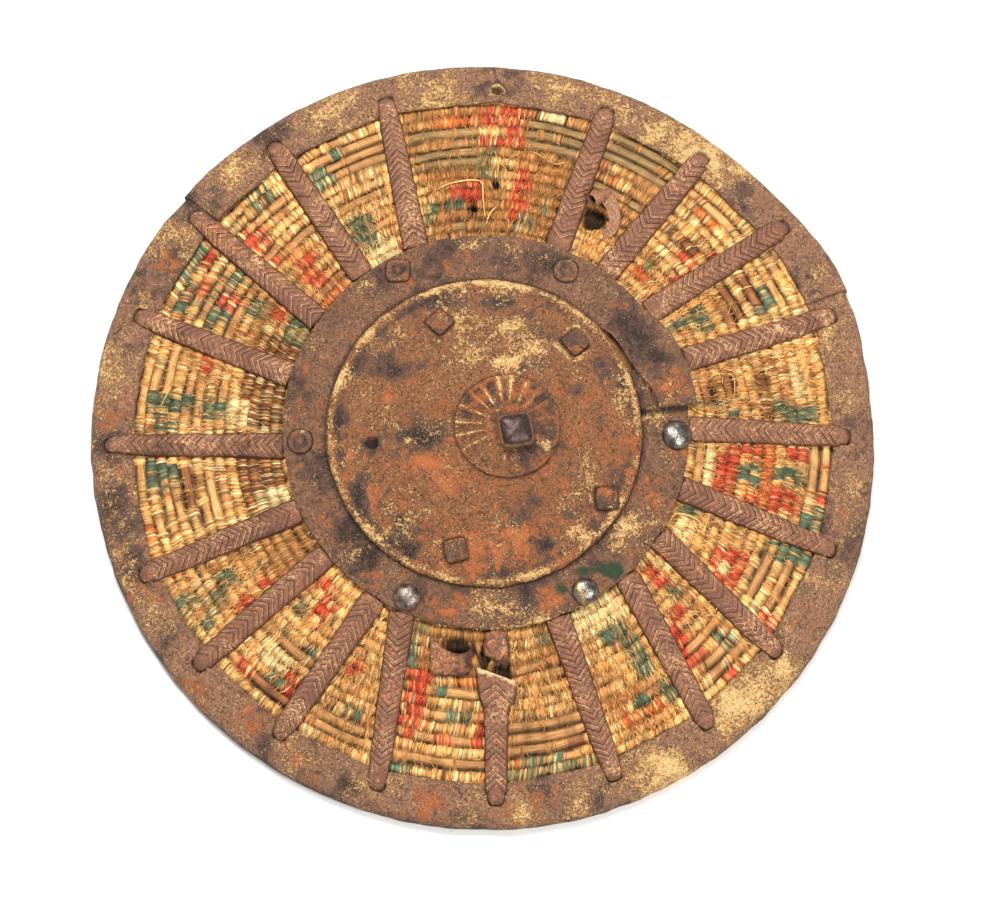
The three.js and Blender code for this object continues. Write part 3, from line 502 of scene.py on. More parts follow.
RIM_ORANGE = [
    (150, 222, 14, 0.9), (175, 228, 16, 0.7), (204, 224, 20, 0.8), (222, 234, 12, 0.8),
    (232, 226, 14, 0.8), (241, 228, 14, 1.0), (262, 228, 16, 0.9), (274, 232, 14, 0.8),
    (280, 224, 14, 0.9), (296, 222, 14, 0.7), (126, 224, 12, 0.5), (331, 226, 14, 0.6),
    (350, 230, 16, 0.5), (33, 232, 12, 0.4), (103, 234, 12, 0.3), (187, 226, 12, 0.6),
]
RIM_DARK = [
    (27, 228, 15, 0.7), (42, 226, 12, 0.5), (84, 235, 8, 0.2), (92, 236, 8, 0.2),
    (106, 234, 10, 0.4), (123, 234, 12, 0.6), (140, 235, 12, 0.7), (147, 228, 10, 0.5),
    (156, 234, 14, 0.8), (168, 230, 12, 0.6), (181, 232, 18, 0.9), (192, 226, 14, 0.9), (201, 230, 10, 0.5),
    (214, 226, 10, 0.5), (236, 234, 10, 0.6), (250, 230, 12, 0.8), (268, 236, 12, 0.5),
    (287, 236, 10, 0.5), (323, 222, 14, 0.5), (344, 232, 20, 0.5), (357, 234, 14, 0.4),
    (2, 236, 14, 0.4), (12, 236, 12, 0.4), (244, 236, 12, 0.4),
]


def rim_strip(name, start, end, sink):
    """One strip: a C-shaped section of front flange, rolled edge and back flange, carried round
    the rim. Hammer marks lift it by noise, and holes push the front flange in."""
    section_front = np.linspace(0.0, 1.0, 22)
    angle = np.linspace(start, end, int((end - start) / RIM_STEP))[:, None]
    edge = rim_radius(angle) + noise(angle * 4.0, 0 * angle, 9.0, 3, 2) * 0.35
    bulge = RIM_BULGE * bump_at(turn_between(angle, RIM_BULGE_ANGLE), 0, RIM_BULGE_SPREAD) / 2
    ragged = noise(angle * 4.0, 0 * angle + 50, 7.0, 5, 3) * 0.55
    inner = RIM_INNER + bulge + RIM_INNER_TRIM - chord_inset(angle) + ragged
    rise = LAP_STEP * in_lap(angle)
    drop = LAP_STEP * in_lap(angle) if sink else 0 * angle
    # the outer face as radius and height, from the inner edge out, over and under
    shoulder = edge - RIM_SHOULDER_INSET
    front = inner + (shoulder - inner) * section_front[None, :]
    shoulder_share = (front - RIM_INNER) / (shoulder - RIM_INNER)
    front_height = RIM_TOP + (RIM_SHOULDER - RIM_TOP) * shoulder_share + rise
    front_height = front_height + RIM_CROWN * np.sin(np.pi * np.clip(shoulder_share, 0, 1))
    roll = np.linspace(0, 1, 6)[None, 1:]
    roll_radius = shoulder + RIM_SHOULDER_INSET * np.sin(roll * np.pi / 2)
    roll_height = RIM_FOOT + (RIM_SHOULDER + rise - RIM_FOOT) * np.cos(roll * np.pi / 2)
    under = np.linspace(0, 1, 4)[None, 1:]
    under_radius = edge - RIM_FOOT_INSET * (1 - np.cos(under * np.pi / 2))
    under_height = RIM_FOOT * (1 - np.sin(under * np.pi / 2)) + 0 * edge
    back = np.linspace(0, 1, 4)[None, 1:]
    back_radius = edge - RIM_FOOT_INSET + (
        RIM_RADIUS - RIM_BACK_WIDTH - edge + RIM_FOOT_INSET) * back
    radius = np.concatenate([front, roll_radius, under_radius, back_radius], axis=1)
    height = np.concatenate([front_height, roll_height, under_height, 0 * back_radius], axis=1)
    # the sheet's own normal in the section, for hammer marks and for the inner face
    along_r = np.gradient(radius, axis=1)
    along_z = np.gradient(height, axis=1)
    length = np.hypot(along_r, along_z)
    normal_r, normal_z = -along_z / length, along_r / length
    turn = np.radians(angle)
    x, y = polar(radius, turn)
    (broad, broad_depth, broad_octaves), (small, small_depth, small_octaves) = RIM_HAMMER
    hammer = (noise(x, y, broad, 11, broad_octaves) * broad_depth
              + noise(x, y, small, 17, small_octaves) * small_depth)
    on_front = smooth_step(height, 6.0, 10.0)
    pit = hole_share(x, y) * on_front
    ring = np.clip(hole_share(x, y, TIP_HOLE_LIP_WIDTH) - pit, 0, 1) * on_front
    lift = -drop + hammer * on_front - pit * TIP_HOLE_DEPTH + ring * TIP_HOLE_LIP
    outer_r, outer_z = radius + normal_r * lift, height + normal_z * lift
    inner_r = radius + normal_r * (lift - RIM_SHEET)
    inner_z = height + normal_z * (lift - RIM_SHEET)
    outer_z = np.maximum(outer_z, 0.0)
    inner_z = np.maximum(inner_z, 0.4)
    loop_r, loop_z = both_faces(outer_r, inner_r), both_faces(outer_z, inner_z)
    points = np.stack([*polar(loop_r, turn), loop_z], axis=2)
    rows, columns = loop_r.shape
    faces = grid_faces(rows, columns, wrap_columns=True)
    flat = points.reshape(-1, 3)
    column = np.arange(columns // 2 - 1)
    cap = np.stack([column, column + 1, columns - 2 - column, columns - 1 - column], axis=1)
    faces = np.concatenate([faces, cap[:, ::-1], (rows - 1) * columns + cap])
    px, py, pz = flat.T
    place = np.hypot(px, py)
    shade = both_faces(pit).ravel()
    inner_edge_shade = smooth_step(-place, -216.0, -213.0) * 0.25
    near_lost = blobs(px, py, [(*LOST_BAR, 7, 1)])
    lost_lip = both_faces(ring).ravel() * near_lost
    # Painted shade in the tips' holes, along the front flange's inner edge and low on the roll where it
    # turns down to the floor.
    attributes = {
        "pale": blobs(px, py, RIM_PALE) - 0.15 + 1.4 * lost_lip,
        "orange": blobs(px, py, RIM_ORANGE) - 0.3,
        "dark": blobs(px, py, RIM_DARK) - 0.1 + 0.9 * smooth_step(-pz, -9.5, -5.5),
        "soot": np.clip(shade * (0.85 - 0.25 * near_lost) + inner_edge_shade, 0, 1),
    }
    mesh_piece(name, flat, faces, RIM_IRON, attributes, node=name)


rim_strip("rim_upper_strip", LAP_RIGHT, LAP_LEFT, sink=False)
rim_strip("rim_lower_strip", LAP_LEFT - LAP_LENGTH, LAP_RIGHT + LAP_LENGTH + 360, sink=True)


# Bars: nineteen half-round bars of forged iron, cut with a herringbone, that run from under the
# boss ring over the rim's flange, where each tip is hooked down into a square hole.

RING_CENTRE = (2.1, 1.2)
RING_RADIUS = 124.0
RING_END_ANGLE = 7.5
RING_LAP = 15
RING_END_SPREAD = 6
RING_END_RAMP = 34
BAR_CLEARANCE = 0.3
BAR_WIDTH_AT_RING = 16.5
BAR_WIDTH_AT_RIM = 13.2
BAR_HEIGHT = 4.4
BAR_TIP_WIDTH = 10.2
BAR_TIP_LENGTH = 15.0
BAR_PLAIN_END = 7.0
CHEVRON_PITCH = 4.0
CHEVRON_DEPTH = 0.75
CHEVRON_LEAN = 0.84
BAR_START = 0.35
BAR_ROOT_WIDTH = 7.5
BAR_ROOT_HEIGHT = 2.0
BAR_TIP_HEIGHT = 2.6
BAR_TIP_DIVE = 3.4
FIRST_CUT = 1.2
BROKEN_BAR = "bar_15"
BREAK_START = 28.0
BREAK_FLARE = 9.5
BREAK_LIFT = 5.5
TORN_SLANT = 4.5
# the half-round section: at a share a of its half width it is (1 - a ** first) ** second high
BAR_SECTION = (2.4, 0.62)
# how far the ring's sprung end is cut back inside, how much more at its corner and over how many
# degrees, and the degrees past its end over which that fades
END_INSET, END_CORNER, END_CORNER_SPAN = 4.6, 9.4, 20.0
END_INSET_FADE = (30, 38)
# one herringbone band: where its samples lie, the share of the groove's depth, and how pale the lip is
# painted, as a highlight
BAND_SAMPLES = ((0.0, 1.0, 0.0), (0.12, 0.75, 0.1), (0.24, -0.2, 1.0), (0.42, 0.0, 0.15),
                (0.7, 0.05, 0.0), (0.9, 0.35, 0.0))


def ring_end_share(angle):
    """How far the boss ring at an angle belongs to its sprung upper end, 1 in the lap."""
    past = np.asarray(angle) - RING_END_ANGLE
    share = smooth_step(1 - (past - RING_LAP) / (RING_END_RAMP - RING_LAP), 0, 1)
    return np.where(past < 0, 0.0, share)


def ring_end_inset(angle):
    """How far the sprung end's inner edge stands out from the ring's own."""
    past = np.asarray(angle) - RING_END_ANGLE
    inset = END_INSET + END_CORNER * smooth_step(1 - past / END_CORNER_SPAN, 0, 1)
    return np.where(past < 0, 0.0, inset * (1 - smooth_step(past, *END_INSET_FADE)))


def bar_line(bar):
    """A bar's start at the ring's edge, its direction, the direction across it, its length."""
    tip_angle, reach, root, *_ = BARS[bar]
    root_radius = RING_RADIUS + RING_END_SPREAD * float(ring_end_share(root))
    start = np.array(polar(root_radius, np.radians(root), RING_CENTRE))
    along = np.array(polar(reach, np.radians(tip_angle))) - start
    length = float(np.hypot(*along))
    along = along / length
    return start, along, np.array([-along[1], along[0]]), length


def bar_foot(x, y):
    """Height of a bar's underside: on the cane, then up over the rim's front flange."""
    radius = np.hypot(x, y)
    angle = np.degrees(np.arctan2(y, x)) % 360
    bulge = RIM_BULGE * bump_at(turn_between(angle, RIM_BULGE_ANGLE), 0, RIM_BULGE_SPREAD)
    inner = RIM_INNER + bulge / 2
    shoulder = rim_radius(angle) - RIM_SHOULDER_INSET
    flange = (RIM_TOP + (RIM_SHOULDER - RIM_TOP) * (radius - inner) / (shoulder - inner)
              + LAP_STEP * in_lap(angle))
    climb = smooth_step(radius, inner - 8, inner - 2)
    crest = cane_crest(radius)
    return BAR_CLEARANCE + crest + (flange + BAR_CLEARANCE - crest) * climb


def bar_iron():
    """Forged iron gone mauve-brown, with pale dust on a few worn edges, painted shade in the cuts and a
    painted highlight on each cut's lip.
    """
    material, place, attribute, feed, bump = new_material("bar_iron")
    cloud = place.swing(50.0, 4.0, 0.65)
    vein = place.swing(230.0, 5.0, 0.7, 1.2)
    patch = place.swing(120.0, 4.0, 0.7, 0.8)
    grain = place.swing(680.0, 4.0, 0.7)
    speck = place.swing(1500.0, 2.0, 0.7)
    fine = grain * 0.5 + speck * 0.4
    base = (fine + vein * 0.4).between(-0.5, 0.1).mix(colour_of(100, 66, 50),
                                                     colour_of(152, 106, 80))
    base = (cloud * 0.6 + vein * 0.4 + fine * 0.3).between(0.0, 0.35).mix(
        base, colour_of(124, 84, 67))
    rust = vein * 0.5 + patch * 0.5 + fine * 0.4 + attribute("orange") * 0.35
    base = rust.between(0.3, 0.6).mix(base, colour_of(182, 110, 70))
    # painted shade: darker in the cuts, by their depth
    base = (attribute("cut") - 0.5 + fine * 0.5).between(-0.1, 0.4).mix(base, colour_of(74, 48, 38))
    # painted highlight along each cut's lip, mixed with pale wear
    crest = attribute("lip") * 0.9 + fine * 0.5 + vein * 0.3 + attribute("pale") * 0.3
    base = crest.between(0.4, 0.85).mix(base, colour_of(206, 160, 118))
    dust = grain * 0.5 + vein * 0.4 - cloud * 0.3 + attribute("pale") * 0.4 + attribute("lip") * 0.1
    base = dust.between(0.3, 0.6).mix(base, colour_of(196, 148, 106))
    base = (dust + speck * 0.5).between(0.7, 0.9).mix(base, colour_of(230, 196, 148))
    # dark patches at random, and painted shade along the edges of bars and sheets
    dark_and_painted_shade = (attribute("dark") * 0.8 + fine * 0.4 - vein * 0.3).between(0.1, 0.6)
    base = (dark_and_painted_shade * 0.8).mix(base, colour_of(66, 44, 34))
    # painted shade where a bar runs under the ring, into its hole or under another piece
    base = attribute("soot").mix(base, PAINTED_SHADE_COLOUR)
    feed("Base Color", base)
    feed("Roughness", 0.74 + grain * 0.08)
    feed("Specular IOR Level", 0.35)
    bump(vein * 0.16 + grain * 0.2 + speck * 0.08, 0.9, 0.0012)
    return material


BAR_IRON = bar_iron()


def cap_faces(rows, count):
    """Flat ends for a closed strip of rings: a fan of triangles over the first and last ring."""
    fan = np.arange(1, count - 1)
    low = np.stack([0 * fan, fan + 1, fan], axis=1)
    high = low[:, ::-1] + (rows - 1) * count
    return np.concatenate([low, high])


def make_bar(bar, rng):
    """One bar as sheared rings: each ring follows the V of the herringbone, so that the cuts are
    rows of the mesh. Across, the section is a flattened half round on a flat underside."""
    start, along, across, length = bar_line(bar)
    tip_angle, apex = BARS[bar][0], BARS[bar][3]
    broken = bar == BROKEN_BAR
    first = BREAK_START if broken else BAR_START
    cut_end = length - BAR_PLAIN_END
    bands = int((cut_end - first) / CHEVRON_PITCH)
    shares, cuts, lip_highlights = [np.tile(part, bands) for part in zip(*BAND_SAMPLES)]
    band = np.repeat(np.arange(bands), len(BAND_SAMPLES))
    shares = band + shares + rng.uniform(-0.07, 0.07, bands)[band]
    places = first + FIRST_CUT + shares * CHEVRON_PITCH
    depths = rng.uniform(0.55, 1.15, bands)[band] * CHEVRON_DEPTH
    lip_highlights = lip_highlights * rng.uniform(0.4, 1.0, bands)[band]
    ease = np.minimum(smooth_step(places, first, first + 6), 1 - smooth_step(
        places, cut_end - 5, cut_end + 1))
    tail = np.linspace(max(cut_end + 1.5, places[-1] + 0.5), length, 9)
    lead = np.array([first]) if broken else np.array([-6.0, first - 0.3, first, first + 0.6])
    distance = np.concatenate([lead, places, tail])
    cut = np.concatenate([0 * lead, cuts * depths * np.minimum(1, ease * 2), 0 * tail])
    lip = np.concatenate([0 * lead, lip_highlights * ease, 0 * tail])
    lean = np.concatenate([0 * lead, ease, 0 * tail]) * CHEVRON_LEAN * apex
    share = np.clip(distance / length, 0, 1)
    width = BAR_WIDTH_AT_RING + (BAR_WIDTH_AT_RIM - BAR_WIDTH_AT_RING) * share
    narrow = smooth_step(distance, length - BAR_TIP_LENGTH, length - 2)
    width = width + (BAR_TIP_WIDTH - width) * narrow
    end_share = np.clip((distance - length + 4.0) / 4.0, 0, 1)
    width = width * np.sqrt(np.maximum(1 - 0.75 * end_share ** 2, 0))
    width = width + noise(distance, 0 * distance + tip_angle, 6.0, 23, 2) * 0.35
    height = BAR_HEIGHT + (BAR_TIP_HEIGHT - BAR_HEIGHT) * narrow
    lift, torn_lip, slant = np.zeros((3, len(distance)))
    if broken:
        flare = 1 - smooth_step(distance, first, first + 15)
        width = width + BREAK_FLARE * flare
        height = height * (1 - 0.72 * flare)
        lift = BREAK_LIFT * flare ** 1.5
        torn_lip = 2.5 * (1 - smooth_step(distance, first + 0.6, first + 2.4))
        slant = TORN_SLANT * (1 - smooth_step(distance, first, first + 12))
    else:
        blunt = smooth_step(distance, first - 0.2, first + 2.2)
        width = np.where(distance < first, BAR_ROOT_WIDTH, width * (0.86 + 0.14 * blunt))
        height = np.where(distance < first, BAR_ROOT_HEIGHT, height * (0.62 + 0.38 * blunt))
    dive = smooth_step(distance, length - 5.5, length) * BAR_TIP_DIVE
    columns = np.linspace(-1, 1, 13)
    section = (1 - np.abs(columns) ** BAR_SECTION[0]) ** BAR_SECTION[1]
    side = np.concatenate([columns, [0.5, -0.5]])
    rise = np.concatenate([section, [0, 0]])
    s = distance[:, None] - lean[:, None] * np.abs(side)[None, :] * width[:, None] / 2
    s = s + slant[:, None] * side[None, :]
    a = side[None, :] * width[:, None] / 2
    x = start[0] + along[0] * s + across[0] * a
    y = start[1] + along[1] * s + across[1] * a
    top = rise[None, :] * (height[:, None] - cut[:, None] * 0.6)
    top = top - cut[:, None] * 0.55 * smooth_step(rise, 0.05, 0.5)[None, :]
    top = top + noise(x, y, 5.0, 29, 2) * 0.14 * (rise[None, :] > 0.01)
    z = bar_foot(x, y) + np.maximum(top, 0) + lift[:, None] - dive[:, None]
    points = np.stack([x, y, z], axis=2)
    rows, count = x.shape
    faces = grid_faces(rows, count, wrap_columns=True)[:, ::-1]
    caps = cap_faces(rows, count)[:, ::-1]
    groove = (cut[:, None] / CHEVRON_DEPTH) * (rise[None, :] > 0)
    edge = smooth_step(np.abs(side), 0.8, 1.0)[None, :] + 0 * cut[:, None]
    tip = narrow[:, None] + 0 * edge
    # Painted shade along the sides, at the root under the ring and at the tip in its hole; painted
    # highlight on each cut's lip and on the torn lip, which is also more orange.
    attributes = {
        "cut": np.clip(groove, 0, 1).ravel(),
        "lip": (lip[:, None] * (rise[None, :] > 0)).ravel(),
        "dark": (edge * 0.55 - 0.15 + noise(x, y, 22.0, 33) * 0.3
                 + 0.34 * bump_at(turn_between(tip_angle, 180), 0, 34)).ravel(),
        "pale": (noise(x, y, 14.0, 31) * 0.5 + 0.1 + 0.3 * tip + torn_lip[:, None]).ravel(),
        "orange": (noise(x, y, 18.0, 37) * 0.8 - 0.2 + 0.5 * torn_lip[:, None]).ravel(),
        "soot": (0.7 * smooth_step(-s, -first - 0.5, -first + 0.4) * (not broken)
                 + 0.5 * smooth_step(s, length - 2.5, length)).ravel(),
    }
    mesh_piece(bar, points, [faces, caps], BAR_IRON, attributes, node=bar)


bar_rng = np.random.default_rng(41)
for bar_name in BARS:
    make_bar(bar_name, bar_rng)


# Broken bar's pieces: the flat root left under the ring, the scrap curled up beside it, and a
# thin sliver torn from the bar that stands on edge at the break.

def plank(name, left, right, thickness, seed, node=None, bend=0.0, shade=0.0, columns=9):
    """A sheet between two lines of points, given as x, y and height over the cane's crests, with
    its thickness below. A little noise lifts its face."""
    share = np.linspace(0, 1, columns)[None, :, None]
    left, right = np.asarray(left, float), np.asarray(right, float)
    steps = np.linspace(0, len(left) - 1, 6 * (len(left) - 1) + 1)
    line = [np.stack([np.interp(steps, np.arange(len(edge)), edge[:, axis])
                      for axis in range(3)], axis=1) for edge in (left, right)]
    top = line[0][:, None, :] * (1 - share) + line[1][:, None, :] * share
    top[..., 2] += bend * np.sin(np.pi * share[..., 0])
    top[..., 2] += noise(top[..., 0], top[..., 1], 3.5, seed, 2) * 0.18
    loop = both_faces(top, top - [0, 0, thickness])
    loop[..., 2] += cane_crest(np.hypot(loop[..., 0], loop[..., 1]))
    rows, count = loop.shape[:2]
    faces = grid_faces(rows, count, wrap_columns=True)
    zero = np.zeros(rows * count)
    rim_share = np.abs(both_faces(share[..., 0]) * 2 - 1)
    edge = np.tile(smooth_step(rim_share, 0.7, 1.0).ravel(), rows)
    far = np.repeat(np.linspace(0, 1, rows), count)
    # Painted shade along the sheet's edges and towards its far end, plus the given shade all over.
    attributes = {"cut": zero, "lip": zero, "dark": edge * 0.6 + 0.5 * far, "pale": zero + 0.1,
                  "orange": zero + 0.9, "soot": np.clip(shade + 0.5 * smooth_step(far, 0.7, 1), 0, 1)}
    mesh_piece(name, loop, [faces, cap_faces(rows, count)], BAR_IRON, attributes, node)


stub_start, stub_along, stub_across, _ = bar_line(BROKEN_BAR)
stub_places = np.array([-8.0, 1.0, 2.2, 10.0, 17.0, 19.0])
stub_widths = np.array([7.5, 7.5, 14.0, 15.0, 15.0, 13.6]) / 2
stub_heights = np.array([1.6, 1.6, 2.2, 2.4, 2.2, 1.4])
stub_middle = stub_start + stub_places[:, None] * stub_along
stub_tear = np.array([0, 0, 0, 0, 1.5, 3.2])[:, None] * stub_along
stub_aside = stub_widths[:, None] * stub_across
stub_left = np.column_stack([stub_middle + stub_aside + stub_tear, stub_heights])
stub_right = np.column_stack([stub_middle - stub_aside - stub_tear, stub_heights])
plank("bar_stub", stub_left, stub_right, 1.4, 47, node="bar_stub", bend=0.5)

arch = np.sin(np.linspace(0, np.pi, 7))
strap_x = -18.4 + np.linspace(-13, 13, 7)
strap_top = np.array([-125.5, -131.5, -135.5, -138.0, -138.5, -137.0, -133.0])
strap_upper = np.column_stack([strap_x, strap_top, 0.6 + 6.4 * arch + 1.2])
strap_lower = np.column_stack([strap_x * 0.9 - 3, -150.0 - 0.8 * arch, 0.5 + 1.4 * arch + 1.0])
plank("curled_strap", strap_upper, strap_lower, 1.2, 53, node="curled_strap", bend=1.2)

sliver_low = [(-7.2, -129.8, 1.0), (-5.0, -135, 2.0), (-2.2, -142, 3.0), (0.4, -149, 4.0)]
sliver_high = [(-6.4, -129.6, 4.4), (-4.0, -135, 6.0), (-1.0, -142, 7.2), (1.6, -149, 6.0)]
plank("torn_sliver", sliver_high, sliver_low, 1.0, 59, shade=0.45, columns=5)


# Cane: one long coil of withes under silk-like thread, so every row is a round rod and every
# thread a fine ridge across it. One closed piece stands between each two bars, on a common core.
# Thread is lost in places, and there the bare cane shows, smooth and brown.

CANE_PITCH = 7.0
CANE_OUTER = 220.8
CANE_ROWS = 15
CANE_MEAN_RADIUS = 172
CANE_WALL_DEPTH = 5.8
STRAND_PITCH = 0.66
HOLLOW_DEPTH = 4.6
CREVICE_DEPTH = 0.9
# samples over one row of cane, from valley to valley: share of the pitch, height, and brightness, which is
# painted shade in the valleys and painted light on the crest
ROD_SAMPLES = ((0.0, -2.2, 0.34), (0.13, -1.05, 0.62), (0.33, -0.28, 0.98), (0.53, 0.0, 1.12),
               (0.73, -0.34, 0.95), (0.9, -1.2, 0.58))
# the same samples where the cane is bare: a flatter slat with steep sides, its height and painted
# brightness
SLAT_SAMPLES = ((-2.6, 0.12), (-1.3, 0.4), (-0.12, 1.02), (0.0, 1.1), (-0.1, 1.0), (-1.4, 0.42))
BARE_DROP = 0.5
# which of the samples lie in the line between two rows
CREVICE_SAMPLES = (0, 1, 5)

CANE_COLOURS = {
    "gold": (234, 176, 104), "ochre": (188, 132, 76), "straw": (246, 214, 152),
    "red": (206, 84, 56), "orange": (210, 116, 60), "teal": (104, 118, 90),
    "grey": (134, 124, 82), "tan": (198, 144, 90), "pale": (220, 166, 104),
    "olive": (158, 126, 82), "brown": (150, 98, 62), "worn": (122, 78, 46), "dark": (42, 26, 18),
}
BARE_COLOURS = ("tan", "pale", "olive", "brown")

